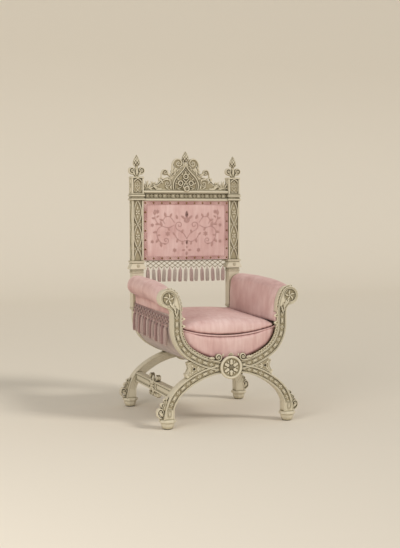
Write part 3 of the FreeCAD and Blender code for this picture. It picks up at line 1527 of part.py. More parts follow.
# Padded panel between the posts: rail, board, pad, border, nails and cloth behind
lower_rail = bound_box("lower_rail", (f"-{rail_half}", "sizes.board_front", "sizes.panel_bottom"),
                       (f"2 * {rail_half}", "sizes.lower_rail_depth", "sizes.lower_rail_height"))
finished(lower_rail, "lower_back_rail")
board = bound_box("board",
                  (f"-{rail_half}", "sizes.board_front", "sizes.panel_bottom + sizes.lower_rail_height"),
                  (f"2 * {rail_half}", "sizes.board_thick",
                   "sizes.rail_bottom - sizes.panel_bottom - sizes.lower_rail_height"))
finished(board, "back_board")

panel_half = post_inner - s.panel_side_gap
panel_top = s.rail_bottom - s.soft_gap


def panel_ring(inset, y):
    half = panel_half - inset
    low, high = s.panel_bottom + inset, panel_top - inset
    return Part.makePolygon([Vector(-half, y, low), Vector(half, y, low), Vector(half, y, high),
                             Vector(-half, y, high), Vector(-half, y, low)])


pad_front = s.board_front - s.soft_gap - s.pad_thick
pad_rings = [
    panel_ring(0, s.board_front - s.soft_gap),
    panel_ring(0, pad_front),
    panel_ring(s.border_width, pad_front),
    panel_ring(s.border_width + s.pad_crown, pad_front - s.pad_crown / 2),
    panel_ring(s.border_width + 4 * s.pad_crown, pad_front - s.pad_crown),
]
pad_base = Part.makeLoft(pad_rings[:2], True, True)
pad_dome = Part.makeLoft(pad_rings[2:], True, True)
feature("back_pad", fused([pad_base, pad_dome]))


def frame_strip(front, back, width):
    """A flat border round the panel."""
    high_front = Vector(panel_half, back, panel_top)
    whole = block(Vector(-panel_half, front, s.panel_bottom), high_front)
    hole = block(Vector(-panel_half + width, front, s.panel_bottom + width),
                 Vector(panel_half - width, back, panel_top - width))
    return whole.cut(hole)


border_back = pad_front - s.soft_gap
border_front = border_back - s.border_thick
feature("back_border", frame_strip(border_front, border_back, s.border_width - s.soft_gap))


def nails():
    """Domed nails along the middle of the border."""
    inset = s.border_width / 2
    wide = 2 * (panel_half - inset)
    tall = panel_top - s.panel_bottom - 2 * inset
    columns, rows = round(wide / s.nail_pitch), round(tall / s.nail_pitch)
    places = []
    for k in range(columns + 1):
        x = -wide / 2 + wide * k / columns
        places += [(x, s.panel_bottom + inset), (x, panel_top - inset)]
    for k in range(1, rows):
        z = s.panel_bottom + inset + tall * k / rows
        places += [(-wide / 2, z), (wide / 2, z)]
    made = []
    for x, z in places:
        made.append(knob(Vector(x, border_front, z), s.nail_radius, s.nail_rise))
    return Part.makeCompound(made)


feature("border_nails", nails())
cover_front = s.board_front + s.lower_rail_depth + s.soft_gap
feature("back_cover", block(Vector(-panel_half, cover_front, s.panel_bottom),
                            Vector(panel_half, cover_front + s.back_cover_thick, panel_top)))

base_inner = s.arm_half_span - s.base_width / 2
back_row = 2 * (base_inner - s.panel_side_gap - s.tassel_skirt_radius)
back_count = int(back_row / s.back_tassel_pitch) + 1
back_net = net(2 * (base_inner - s.panel_side_gap), s.back_net_drop, s.net_heading, s.back_tassel_pitch,
               back_count)
back_net.translate(Vector(0, s.board_front, s.panel_bottom - s.soft_gap))
feature("back_net", back_net)
tassel_top = s.panel_bottom - s.soft_gap - s.back_net_drop
tassel_y = s.board_front - s.net_thick / 2
row = []
for k in range(back_count):
    x = (k - (back_count - 1) / 2) * s.back_tassel_pitch
    row.append(tassel(Vector(x, tassel_y, tassel_top), s.back_tassel_length, s.tassel_skirt_radius))
feature("back_tassels", Part.makeCompound(row))

# Check everything before writing it
doc.recompute()
for item in doc.Objects:
    if "Invalid" in item.State or "Error" in item.State:
        raise RuntimeError(f"{item.Label} failed: {item.State}")
for piece in pieces:
    if piece.Shape.isNull() or not piece.Shape.isValid():
        raise RuntimeError(f"{piece.Label} has a bad shape")
    if not piece.Shape.Solids:
        raise RuntimeError(f"{piece.Label} has no solid")

os.makedirs("parts", exist_ok=True)
for piece in pieces:
    piece.Shape.exportStep(f"parts/{piece.Label}.step")
    print(piece.Label, len(piece.Shape.Solids), round(piece.Shape.Volume / 1000, 1))
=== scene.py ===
import bmesh
import bpy
import math
import random
from functools import partial
from mathutils import Matrix, Vector


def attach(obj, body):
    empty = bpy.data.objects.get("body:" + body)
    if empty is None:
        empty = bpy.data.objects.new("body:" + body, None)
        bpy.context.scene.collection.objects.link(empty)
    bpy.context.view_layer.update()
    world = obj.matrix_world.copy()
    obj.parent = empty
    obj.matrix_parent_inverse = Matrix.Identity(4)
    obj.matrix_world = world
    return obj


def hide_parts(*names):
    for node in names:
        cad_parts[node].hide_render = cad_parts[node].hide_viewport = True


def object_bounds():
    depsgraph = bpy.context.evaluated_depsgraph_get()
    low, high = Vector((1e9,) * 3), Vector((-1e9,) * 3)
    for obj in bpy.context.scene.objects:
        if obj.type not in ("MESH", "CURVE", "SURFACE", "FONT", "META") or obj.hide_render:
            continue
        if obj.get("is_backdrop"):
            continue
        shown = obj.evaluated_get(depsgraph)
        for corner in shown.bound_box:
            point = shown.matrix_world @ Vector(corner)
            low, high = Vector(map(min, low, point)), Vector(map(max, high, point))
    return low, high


# A savonarola armchair: painted oak X frames with cusps and scrolls, a velvet tub with fringes,
# and a tall upholstered back between two traceried posts. X is to the right, Y to the back, Z up.
# Shapes are drawn in millimetres and made in metres.

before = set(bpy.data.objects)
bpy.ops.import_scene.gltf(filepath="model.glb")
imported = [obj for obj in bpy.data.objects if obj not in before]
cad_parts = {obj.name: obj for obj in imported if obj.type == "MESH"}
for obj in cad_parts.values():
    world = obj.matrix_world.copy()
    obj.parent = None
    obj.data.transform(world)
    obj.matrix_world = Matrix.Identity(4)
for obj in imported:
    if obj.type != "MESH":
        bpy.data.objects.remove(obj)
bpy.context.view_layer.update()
mm = 0.001
half_turn = math.pi
quarter = math.pi / 2
random.seed(7)


# Colours and materials

def paint(code):
    """A colour written as sRGB hex, turned to the linear values that shaders use."""
    channels = [int(code[i:i + 2], 16) / 255 for i in (1, 3, 5)]
    return [c / 12.92 if c <= 0.04045 else ((c + 0.055) / 1.055) ** 2.4 for c in channels] + [1.0]


def add_node(material, kind, settings=(), links=(), stops=()):
    """Adds a node: settings name its sockets or properties, links feed its sockets, stops fill its ramp."""
    node = material.node_tree.nodes.new("ShaderNode" + kind)
    for name, value in dict(settings).items():
        if isinstance(name, str) and hasattr(node, name):
            setattr(node, name, value)
        else:
            node.inputs[name].default_value = value
    for name, output in dict(links).items():
        material.node_tree.links.new(output, node.inputs[name])
    if stops:
        steps = node.color_ramp.elements
        while len(steps) < len(stops):
            steps.new(1.0)
        for step, (place, code) in zip(steps, stops):
            step.position = place
            step.color = paint(code)
    return node


def new_material(name):
    """An empty material, and the function that adds nodes to it."""
    material = bpy.data.materials.new(name)
    material.use_nodes = True
    material.node_tree.nodes.clear()
    return material, partial(add_node, material)


def surfaced(material, tone, stops, height, relief, look, links=()):
    """Ends a material: the tone picks its colour from the stops, and the height roughens its face by the
    relief's strength and metres."""
    add = partial(add_node, material)
    strength, distance = relief
    colour = add("ValToRGB", links={"Fac": tone}, stops=stops)
    lifted = add("Bump", {"Strength": strength, "Distance": distance}, {"Height": height})
    shader = add("BsdfPrincipled", look,
                 {"Base Color": colour.outputs["Color"], "Normal": lifted.outputs[0], **dict(links)})
    add("OutputMaterial", links={"Surface": shader.outputs[0]})
    return material


def waves(pitch):
    """Scale of a wave texture whose bands lie a pitch apart, in metres."""
    return half_turn / (10 * pitch)


def oak_paint_with_painted_shade(name, stops):
    """Stone-coloured paint on carved oak, mottled at random; painted shade darkens it in creases and hollows,
    where little light reaches.
    """
    material, add = new_material(name)
    place = add("TexCoord").outputs["Object"]
    # painted shade: ambient occlusion darkens the paint in fine creases and in broader hollows
    crease = add("AmbientOcclusion", {"Distance": 0.006, "samples": 8})
    hollow = add("AmbientOcclusion", {"Distance": 0.025, "samples": 8})
    mottle = add("TexNoise", {"Scale": 1 / 0.04, "Detail": 5, "Roughness": 0.62}, {"Vector": place})
    shade = add("Math", {"operation": "MULTIPLY_ADD", 1: 0.3, 2: -0.15}, {0: mottle.outputs["Fac"]})
    close = add("Math", {"operation": "MULTIPLY_ADD", 1: 0.6}, {0: crease.outputs["AO"], 2: shade.outputs[0]})
    depth = add("Math", {"operation": "MULTIPLY_ADD", 1: 0.4}, {0: hollow.outputs["AO"], 2: close.outputs[0]})
    along = add("Mapping", {"Scale": (1.0, 1.0, 0.1)}, {"Vector": place})
    grain = add("TexNoise", {"Scale": 1 / 0.003, "Detail": 3}, {"Vector": along.outputs[0]}).outputs["Fac"]
    gloss = add("Math", {"operation": "MULTIPLY_ADD", 1: 0.2, 2: 0.46}, {0: grain})
    return surfaced(material, depth.outputs[0], stops, grain, (0.3, 0.0004), {"IOR": 1.5},
                    {"Roughness": gloss.outputs[0]})


def sawn_oak():
    """Bare rails inside the tub: brown oak with open pores along the grain and a dull sawn face."""
    material, add = new_material("sawn_oak")
    place = add("TexCoord").outputs["Object"]
    along = add("Mapping", {"Scale": (1.0, 0.08, 1.0)}, {"Vector": place})
    grain = add("TexNoise", {"Scale": 1 / 0.004, "Detail": 6}, {"Vector": along.outputs[0]}).outputs["Fac"]
    return surfaced(material, grain, [(0.3, "#6E5233"), (0.5, "#94744B"), (0.75, "#AE8E62")],
                    grain, (0.4, 0.0005), {"IOR": 1.5, "Roughness": 0.75})


def velvet():
    """Rose cotton velvet: the pile is brushed down in soft streaks and shines at grazing angles; painted
    shade darkens it where it faces down, as under a roll, and in its folds."""
    material, add = new_material("rose_cotton_velvet")
    place = add("TexCoord").outputs["Object"]
    brushed = add("Mapping", {"Scale": (1.0, 0.5, 0.14)}, {"Vector": place})
    streak = add("TexNoise", {"Scale": 1 / 0.016, "Detail": 4, "Roughness": 0.6},
                 {"Vector": brushed.outputs[0]}).outputs["Fac"]
    bruise = add("TexNoise", {"Scale": 1 / 0.11, "Detail": 3}, {"Vector": place})
    # painted shade: ambient occlusion darkens the velvet in folds and creases
    fold_shade = add("AmbientOcclusion", {"Distance": 0.02, "samples": 8})
    # painted shade: faces that look downward are darkened
    facing = add("TexCoord").outputs["Normal"]
    upward = add("SeparateXYZ", links={"Vector": facing}).outputs["Z"]
    downward_shade_mask = add("Math", {"operation": "MINIMUM", 1: 0.0}, {0: upward})
    shaded = add("Math", {"operation": "MULTIPLY_ADD", 1: 0.3, 2: -0.18}, {0: downward_shade_mask.outputs[0]})
    nap_streaks_and_shade = add("Math", {"operation": "MULTIPLY_ADD", 1: 0.42}, {0: streak, 2: shaded.outputs[0]})
    wear_nap_and_shade = add("Math", {"operation": "MULTIPLY_ADD", 1: 0.45}, {0: bruise.outputs["Fac"], 2: nap_streaks_and_shade.outputs[0]})
    tone = add("Math", {"operation": "MULTIPLY_ADD", 1: 0.4}, {0: fold_shade.outputs["AO"], 2: wear_nap_and_shade.outputs[0]})
    pile = add("TexNoise", {"Scale": 1 / 0.0012, "Detail": 2}, {"Vector": place})
    return surfaced(material, tone.outputs[0],
                    [(0.12, "#835755"), (0.4, "#B18884"), (0.6, "#CAA69F"), (0.82, "#DBBFB8")],
                    pile.outputs["Fac"], (0.35, 0.0006),
                    {"IOR": 1.45, "Roughness": 0.9, "Sheen Weight": 0.45, "Sheen Roughness": 0.4,
                     "Sheen Tint": paint("#F3D6CF"), "Specular IOR Level": 0.25})


def rep_cloth():
    """Ribbed wool cloth in greyish mauve round the tub: cords run up it, drawn 7 mm apart for 2 mm so that
    they show."""
    material, add = new_material("mauve_wool_rep")
    place = add("TexCoord").outputs["Object"]
    ribs = add("TexWave", {"bands_direction": "Y", "Scale": waves(0.007), "Distortion": 0.4},
               {"Vector": place}).outputs["Fac"]
    cloud = add("TexNoise", {"Scale": 1 / 0.07, "Detail": 5}, {"Vector": place})
    tone = add("Math", {"operation": "MULTIPLY_ADD", 1: 0.3}, {0: ribs, 2: cloud.outputs["Fac"]})
    return surfaced(material, tone.outputs[0], [(0.3, "#8A766E"), (0.6, "#A89389"), (0.95, "#BEAA9F")],
                    ribs, (0.5, 0.0006), {"IOR": 1.45, "Roughness": 0.9, "Sheen Weight": 0.2})


def woven_border():
    """Rose braid nailed round the back panel: a small twill, drawn 8 mm wide for 3 mm so that it shows."""
    material, add = new_material("rose_woven_braid")
    place = add("TexCoord").outputs["Object"]
    slant = add("Mapping", {"Rotation": (0, math.radians(45), 0)}, {"Vector": place})
    twill = add("TexWave", {"bands_direction": "X", "Scale": waves(0.008), "Distortion": 0.6},
                {"Vector": slant.outputs[0]}).outputs["Fac"]
    cloud = add("TexNoise", {"Scale": 1 / 0.05, "Detail": 4}, {"Vector": place})
    tone = add("Math", {"operation": "MULTIPLY_ADD", 1: 0.35}, {0: twill, 2: cloud.outputs["Fac"]})
    return surfaced(material, tone.outputs[0], [(0.35, "#916660"), (0.65, "#AF8780"), (0.95, "#C8A9A0")],
                    twill, (0.6, 0.0006), {"IOR": 1.45, "Roughness": 0.85, "Sheen Weight": 0.25})


def silk_yarn(name, dark, middle, light):
    """Twisted silk yarn: each cord has a soft gloss along its twist; painted shade darkens it between the
    strands.
    """
    material, add = new_material(name)
    place = add("TexCoord").outputs["Object"]
    # painted shade: ambient occlusion darkens the yarn between strands and cords
    between = add("AmbientOcclusion", {"Distance": 0.007, "samples": 8})
    slub = add("TexNoise", {"Scale": 1 / 0.006, "Detail": 4}, {"Vector": place}).outputs["Fac"]
    tone = add("Math", {"operation": "MULTIPLY_ADD", 1: 0.5}, {0: slub, 2: between.outputs["AO"]})
    twist = add("Mapping", {"Rotation": (0.5, 0.5, 0), "Scale": (1, 1, 0.3)}, {"Vector": place})
    strand = add("TexNoise", {"Scale": 1 / 0.0013, "Detail": 2}, {"Vector": twist.outputs[0]})
    return surfaced(material, tone.outputs[0], [(0.35, dark), (0.8, middle), (1.25 / 1.4, light)],
                    strand.outputs["Fac"], (0.5, 0.0004), {"IOR": 1.5, "Roughness": 0.6, "Sheen Weight": 0.3})


def jute():
    """Jute webbing: coarse brown yarns over and under each other, drawn 8 mm apart for 3 mm so that they
    show."""
    material, add = new_material("jute_webbing")
    place = add("TexCoord").outputs["Object"]
    warp = add("TexWave", {"bands_direction": "X", "Scale": waves(0.008)}, {"Vector": place})
    weft = add("TexWave", {"bands_direction": "Y", "Scale": waves(0.008)}, {"Vector": place})
    weave = add("Math", {"operation": "MULTIPLY"},
                {0: warp.outputs["Fac"], 1: weft.outputs["Fac"]}).outputs[0]
    return surfaced(material, weave, [(0.0, "#6B5234"), (0.4, "#8F7450"), (0.9, "#AD9470")],
                    weave, (0.7, 0.001), {"IOR": 1.45, "Roughness": 0.95})


def aged_brass():
    """Brass nails: tarnish runs at random from dark brown to brass, and their roughness with it."""
    material, add = new_material("aged_brass")
    place = add("TexCoord").outputs["Object"]
    tarnish = add("TexNoise", {"Scale": 1 / 0.004, "Detail": 4}, {"Vector": place}).outputs["Fac"]
    colour = add("ValToRGB", links={"Fac": tarnish}, stops=[(0.35, "#5A4526"), (0.6, "#8C6D3C")])
    rough = add("Math", {"operation": "MULTIPLY_ADD", 1: 0.25, 2: 0.3}, {0: tarnish})
    shader = add("BsdfPrincipled", {"Metallic": 1.0},
                 {"Base Color": colour.outputs["Color"], "Roughness": rough.outputs[0]})
    add("OutputMaterial", links={"Surface": shader.outputs[0]})
    return material


# the frame's stone paint, with painted shade in its creases and hollows
oak = oak_paint_with_painted_shade("stone_paint_on_carved_oak_with_painted_shade",
                 [(0.22, "#453A26"), (0.52, "#8A7F62"), (0.76, "#B5AA8E"), (0.96, "#CCC2AA")])
# a lighter copy of the paint, painted light, so that what stands proud on the inner edges is light against
# the velvet
lighter_cresting_paint = oak_paint_with_painted_shade("lighter_paint_on_cresting_painted_light",
                         [(0.2, "#6F6448"), (0.42, "#A79C7C"), (0.66, "#C8BE9F"), (0.9, "#DAD0B5")])
# a darker copy of the paint, painted shade, so that the sunk grounds are darker than what is carved over them
shaded_ground_paint = oak_paint_with_painted_shade("painted_shade_on_sunk_grounds",
                         [(0.22, "#352B1C"), (0.52, "#63583F"), (0.8, "#8E8265"), (1.0, "#9F9376")])
# the darkest copy of the paint: painted deep shade for the eyes of scrolls, the hub buds and the hearts of
# the leaf buds
deepest_shade_paint = oak_paint_with_painted_shade("painted_deep_shade_in_scroll_eyes",
                         [(0.22, "#2B2215"), (0.52, "#4E4430"), (0.8, "#6C614A"), (1.0, "#7B7058")])
bare_oak = sawn_oak()
rose_velvet = velvet()
wool_rep = rep_cloth()
braid_cloth = woven_border()
mauve_yarn = silk_yarn("mauve_silk_yarn", "#5F4844", "#9A7F78", "#BEA69C")
grey_yarn = silk_yarn("grey_silk_yarn", "#5E5348", "#9A8C80", "#C0B2A4")
plum_yarn = silk_yarn("plum_silk_yarn", "#4B3436", "#7E5C5B", "#A6857E")
dark_yarn = silk_yarn("olive_brown_silk_cord", "#3E3424", "#6B5D46", "#8C7E63")
rose_silk = silk_yarn("deep_rose_embroidery_silk", "#77534E", "#987069", "#AD877E")
webbing_jute = jute()
brass = aged_brass()


# Lines

def polar(centre, radius, angle):
    """The point at a radius and an angle from a centre."""
    return centre[0] + radius * math.cos(angle), centre[1] + radius * math.sin(angle)


def arc(centre, radius, start, end, count=12):
    """Points of an arc, both ends included."""
    return [polar(centre, radius, start + (end - start) * k / count) for k in range(count + 1)]


def spiral(centre, outer, inner, turns, start, way=1):
    """Points of a scroll that winds inwards; way 1 turns anticlockwise."""
    step = 0.25
    count = round(turns * 2 * half_turn / step)
    return [polar(centre, outer * (inner / outer) ** (k / count), start + way * k * step)
            for k in range(count + 1)]


def through(stations, steps=6):
    """A smooth line through the stations."""
    spots = [Vector(p).to_3d() for p in stations]
    spots = [2 * spots[0] - spots[1]] + spots + [2 * spots[-1] - spots[-2]]
    line = []
    for a, b, c, d in zip(spots, spots[1:], spots[2:], spots[3:]):
        for k in range(steps):
            t = k / steps
            line.append(0.5 * (2 * b + (c - a) * t + (2 * a - 5 * b + 4 * c - d) * t**2
                               + (3 * b - a - 3 * c + d) * t**3))
    return line + [spots[-2]]


def taper(count, full, first, last, run=0.2):
    """Widths along a line that swell from its first end to full and shrink to its last."""
    widths = []
    for k in range(count):
        near = min(k / (count - 1) / run, 1)
        far = min((1 - k / (count - 1)) / run, 1)
        widths.append(full * (first + (1 - first) * math.sin(near * quarter))
                      * (last + (1 - last) * math.sin(far * quarter)))
    return widths


# Shapes: points and faces, drawn flat in X and Y with Z towards the viewer

def loft(rings, closed=False):
    """A skin from ring to ring, capped at both ends unless the rings close on themselves."""
    size = len(rings[0])
    points = [p for ring in rings for p in ring]
    faces = []
    for k in range(len(rings) if closed else len(rings) - 1):
        this, following = k * size, (k + 1) % len(rings) * size
        for i in range(size):
            j = (i + 1) % size
            faces.append((this + i, following + i, following + j, this + j))
    if not closed:
        faces.append(tuple(range(size)))
        faces.append(tuple(range(len(points) - size, len(points))))
    return points, faces


def rod(line, wide, high=None, sides=8, out=(0, 0, 1), closed=False):
    """A rod along a line, with its half width and half height given at each point or once."""
    line = [Vector(p).to_3d() for p in line]
    wides = wide if isinstance(wide, list) else [wide] * len(line)
    highs = wides if high is None else high if isinstance(high, list) else [high] * len(line)
    up = Vector(out)
    rings = []
    for k, spot in enumerate(line):
        before = line[k - 1] if k or closed else spot
        after = line[(k + 1) % len(line)] if closed or k + 1 < len(line) else spot
        ahead = (after - before).normalized()
        up = (up - ahead * up.dot(ahead)).normalized()
        across = ahead.cross(up)
        angles = [2 * half_turn * (i + 0.5) / sides for i in range(sides)]
        rings.append([spot + across * (wides[k] * math.cos(a)) + up * (highs[k] * math.sin(a))
                      for a in angles])
    return loft(rings, closed)


def turned(profile, sides, flutes=0, depth=0.0):
    """A body turned about Z; the profile gives (radius, height), and flutes cut into its side."""
    rings = []
    for radius, height in profile:
        ring = []
        for i in range(sides):
            angle = 2 * half_turn * i / sides
            reach = radius * (1 - depth * (0.5 - 0.5 * math.cos(flutes * angle)))
            ring.append(Vector((reach * math.cos(angle), reach * math.sin(angle), height)))
        rings.append(ring)
    return loft(rings)


def ring_rod(radius, thick, high, sides=8, count=24):
    """A rod bent to a ring."""
    line = [polar((0, 0), radius, 2 * half_turn * k / count) for k in range(count)]
    return rod(line, thick, high, sides, closed=True)


def button(radius, rise, sides=14):
    """A low dome that stands on the face, its underside a little sunk into it."""
    return turned([(radius, -rise * 0.4), (radius, rise * 0.15), (radius * 0.86, rise * 0.55),
                   (radius * 0.55, rise * 0.88), (radius * 0.1, rise)], sides)


def leaf(length, width, rise, lobes, curl=0.0, bend=0.0):
    """A carved leaf along Y: lobed edge, sunk midrib; it curls towards the viewer and bends sideways."""
    rows, sides = 5 * lobes + 8, 14
    rings = []
    for k in range(rows + 1):
        run = k / rows
        swell = math.sin(half_turn * (0.08 + 0.92 * run) ** 0.85) ** 0.75
        notch = 1 - 0.34 * (0.5 + 0.5 * math.cos(2 * half_turn * lobes * run)) if lobes else 1
        half = max(width / 2 * swell * notch, 0.02 * width)
        turn, lift = bend * run, curl * run
        x = length * (1 - math.cos(turn)) / bend if bend else 0
        y = length * math.sin(turn) / bend if bend else length * run
        z = length * (1 - math.cos(lift)) / curl if curl else 0
        y *= math.sin(lift) / lift if lift else 1
        across = Vector((math.cos(turn), -math.sin(turn), 0))
        ring = []
        for i in range(sides):
            angle = 2 * half_turn * i / sides
            side = math.cos(angle)
            top = math.sin(angle)
            height = rise * swell * top * (1 if top > 0 else 0.5)
            if top > 0:
                height -= rise * 0.55 * swell * math.exp(-(side / 0.28) ** 2)
            ring.append(Vector((x, y, z + height)) + across * (half * side))
        rings.append(ring)
    return loft(rings)


def fanned(angle, reach):
    """The place of one leaf of a spray: turned by an angle and moved out by a reach."""
    return Matrix.Rotation(angle, 4, "Z") @ Matrix.Translation((0, reach, 0))


def joined(shapes, places):
    """One shape made of several, each moved to its place."""
    points, faces = [], []
    for (some, skin), place in zip(shapes, places):
        faces += [[len(points) + i for i in face] for face in skin]
        points += [place @ p for p in some]
    return points, faces


def petals(count, inner, length, width, rise, lobes=0, curl=0.0, start=0.0):
    """Leaves set round a point."""
    petal = leaf(length, width, rise, lobes, curl)
    return joined([petal] * count, [fanned(start + 2 * half_turn * k / count, inner) for k in range(count)])


def plate(outline, thick):
    """A sawn board in X and Y round Z 0 with eased edges."""
    edge = 0.8
    drawing = bpy.data.curves.new("drawing", "CURVE")
    drawing.dimensions = "2D"
    drawing.fill_mode = "BOTH"
    drawing.extrude = thick / 2 - edge
    drawing.bevel_depth = edge
    drawing.bevel_resolution = 1
    drawing.offset = -edge
    line = drawing.splines.new("POLY")
    line.points.add(len(outline) - 1)
    for point, (x, y) in zip(line.points, outline):
        point.co = (x, y, 0, 1)
    line.use_cyclic_u = True
    holder = bpy.data.objects.new("drawing", drawing)
    mesh = bpy.data.meshes.new_from_object(holder)
    shape = [v.co.copy() for v in mesh.vertices], [tuple(f.vertices) for f in mesh.polygons]
    bpy.data.meshes.remove(mesh)
    bpy.data.objects.remove(holder)
    bpy.data.curves.remove(drawing)
    return shape


def band(one, other, thick):
    """A thin strip between two lines of as many points, standing up from Z 0."""
    return loft([[Vector((p[0], p[1], z)) for p, z in ((a, 0), (b, 0), (b, thick), (a, thick))]
                 for a, b in zip(one, other)])


# Where shapes are set: a wall's own X, Y and Z, as one who faces it sees them

walls = {
    "front": ((1, 0, 0), (0, 0, 1), (0, -1, 0)),
    "rear": ((-1, 0, 0), (0, 0, 1), (0, 1, 0)),
    "left": ((0, -1, 0), (0, 0, 1), (-1, 0, 0)),
    "right": ((0, 1, 0), (0, 0, 1), (1, 0, 0)),
}
mirror = Matrix.Scale(-1, 4, (1, 0, 0))


def on(wall, x, y, z, turn=0.0):
    """The place of a shape on a wall that faces front, rear, left or right."""
    facing = Matrix(walls[wall]).transposed().to_4x4()
    return Matrix.Translation((x, y, z)) @ facing @ Matrix.Rotation(turn, 4, "Z")


def two_faces(middle, half):
    """The front and the rear face of a board: wall, Y, and the way that turns its leaves alike on both."""
    return ("front", middle - half, 1), ("rear", middle + half, -1)


class Piece:
    """Points and faces of one piece while it is being shaped."""

    def __init__(self):
        self.points = []
        self.faces = []

    def add(self, shape, *places):
        """The shape at each place."""
        points, faces = shape
        for place in places or [Matrix()]:
            start = len(self.points)
            self.points += [place @ Vector(p).to_3d() for p in points]
            self.faces += [[start + i for i in face] for face in faces]

    def add_twins(self, shape, *places):
        """The shape at each place and at its mirror image across the chair."""
        for place in places or [Matrix()]:
            self.add(shape, place, mirror @ place)

    def finish(self, name, material, slot, replaces=(), body="chair", crease=45):
        """Makes the piece in metres, on its body, and takes the place of the solids that it stands for."""
        mesh = bpy.data.meshes.new(name)
        mesh.from_pydata([p * mm for p in self.points], [], self.faces)
        shaper = bmesh.new()
        shaper.from_mesh(mesh)
        bmesh.ops.recalc_face_normals(shaper, faces=shaper.faces)
        shaper.to_mesh(mesh)
        shaper.free()
        mesh.shade_smooth()
        mesh.set_sharp_from_angle(angle=math.radians(crease))
        mesh.materials.append(material)
        thing = bpy.data.objects.new(name, mesh)
        bpy.context.scene.collection.objects.link(thing)
        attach(thing, body)
        if replaces:
            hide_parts(*replaces)
        return thing


# Sizes shared by the pieces: faces of the frames, the arches they follow and the tub between them
inner_face = 262
outer_face = 310
frame_middle = 286
front = -outer_face
roundel_faces = (("front", front - 6), ("rear", outer_face + 6))
arm_span = 250
arm_width = 40
arm_spring = 440
throat_height = 510
leg_span = 286
leg_width = 38
hub_height = 260
volute = (287, 570)
volute_radius = 41
neck_radius = 28
flare_height = 85
seat_edge = 437
seat_half = 222
post_front = 262
post_half = 28
shaft_low, shaft_high = 708, 1000
panel_half = 221
panel_low, panel_high = 709, 996.7
panel_middle = (panel_low + panel_high) / 2
panel_rise = (panel_high - panel_low) / 2


class Arch:
    """A curve of a wide arc in the middle and a tighter arc at each side."""

    def __init__(self, middle, radius, side_middle, side_radius, way):
        self.middle, self.radius = middle, radius
        self.side_middle, self.side_radius = side_middle, side_radius
        self.way = way
        self.crown = way * quarter
        self.meet = math.atan2(side_middle[1] - middle[1], side_middle[0])
        self.main_length = radius * abs(self.crown - self.meet)
        self.length = self.main_length + side_radius * abs(self.meet)

    def line(self, offset, start=0.0, count=22):
        """From a distance beside the crown down or up the right side to where it stands upright."""
        first = self.crown - self.way * start / self.radius
        main = arc(self.middle, self.radius + offset, first, self.meet, count)
        return main[:-1] + arc(self.side_middle, self.side_radius + offset, self.meet, 0, count)

    def at(self, distance, offset=0.0):
        """Point and direction at a distance from the crown."""
        if distance < self.main_length:
            angle = self.crown - self.way * distance / self.radius
            return polar(self.middle, self.radius + offset, angle), angle - self.way * quarter
        angle = self.meet - self.way * (distance - self.main_length) / self.side_radius
        if angle * self.way < 0:
            beyond = (distance - self.length) * -self.way
            return (self.side_middle[0] + self.side_radius + offset, self.side_middle[1] + beyond), quarter
        return polar(self.side_middle, self.side_radius + offset, angle), angle - self.way * quarter


arm_arch = Arch((0, 590.5), 328.5, (105, 440), 145, -1)
leg_arch = Arch((0, -99.6), 355.6, (126, 50), 160, 1)


def throat(inner_x, start, centre, radius):
    """The arc from an upright line to a circle that it meets without a kink: middle, radius, last angle."""
    across, up = centre[0] - inner_x, centre[1] - start
    reach = (up**2 + across**2 - radius**2) / (2 * (across - radius))
    return (inner_x + reach, start), reach, math.atan2(up, across - reach)


def hollow(outer_x, radius, centre, circle):
    """The hollow under a scroll, between its circle and the upright's outer edge: middle and first angle."""
    x = outer_x + radius
    z = centre[1] - math.sqrt((circle + radius)**2 - (x - centre[0])**2)
    return (x, z), math.atan2(z - centre[1], x - centre[0])


# Padding

def evaluated_mesh(thing):
    """The mesh of a thing as its modifiers leave it."""
    bpy.context.view_layer.update()
    return bpy.data.meshes.new_from_object(thing.evaluated_get(bpy.context.evaluated_depsgraph_get()))


def plump(thing, voxel, cap, low, high):
    """Fills a padded piece: its skin is blown up as cloth, then held to the cap and to the room it has."""
    skin = thing.modifiers.new("skin", "REMESH")
    skin.mode = "VOXEL"
    skin.voxel_size = voxel * mm
    smooth = thing.modifiers.new("smooth", "SMOOTH")
    smooth.iterations = 6
    mesh = evaluated_mesh(thing)
    thing.modifiers.clear()
    material = thing.data.materials[0]
    thing.data = mesh
    mesh.materials.clear()
    mesh.materials.append(material)
    rest = [v.co.copy() for v in mesh.vertices]
    filling = thing.modifiers.new("filling", "CLOTH")
    filling.settings.use_pressure = True
    filling.settings.uniform_pressure_force = 4
    filling.settings.effector_weights.gravity = 0
    for step in range(1, 21):
        bpy.context.scene.frame_set(step)
    blown = evaluated_mesh(thing)
    thing.modifiers.clear()
    for vertex, spot, swollen in zip(mesh.vertices, rest, blown.vertices):
        move = swollen.co - spot
        vertex.co = spot + move * min(1, cap * mm / max(move.length, 1e-9))
    bpy.data.meshes.remove(blown)
    bpy.context.scene.frame_set(1)
    for vertex in mesh.vertices:
        vertex.co = [min(max(c, lo * mm), hi * mm) for c, lo, hi in zip(vertex.co, low, high)]
    mesh.shade_smooth()
    thing.modifiers.new("soft", "SUBSURF").levels = 1


def inset(outline, distance):
    """A closed outline drawn smaller by a distance, its points moved square to it."""
    moved = []
    for k, (x, z) in enumerate(outline):
        before, after = outline[k - 1], outline[(k + 1) % len(outline)]
        dx, dz = after[0] - before[0], after[1] - before[1]
        size = math.hypot(dx, dz)
        moved.append((x - dz / size * distance, z + dx / size * distance))
    return moved


# Loose seat cushion on its sling
sling_radius = 752.7
sling_middle = seat_edge - 36 + sling_radius
cushion_low = 402


def sling(x, lift=0.0):
    """Height of the hanging webbing under the cushion, at a distance from the middle of the chair."""
    return sling_middle - math.sqrt((sling_radius - lift)**2 - x**2)


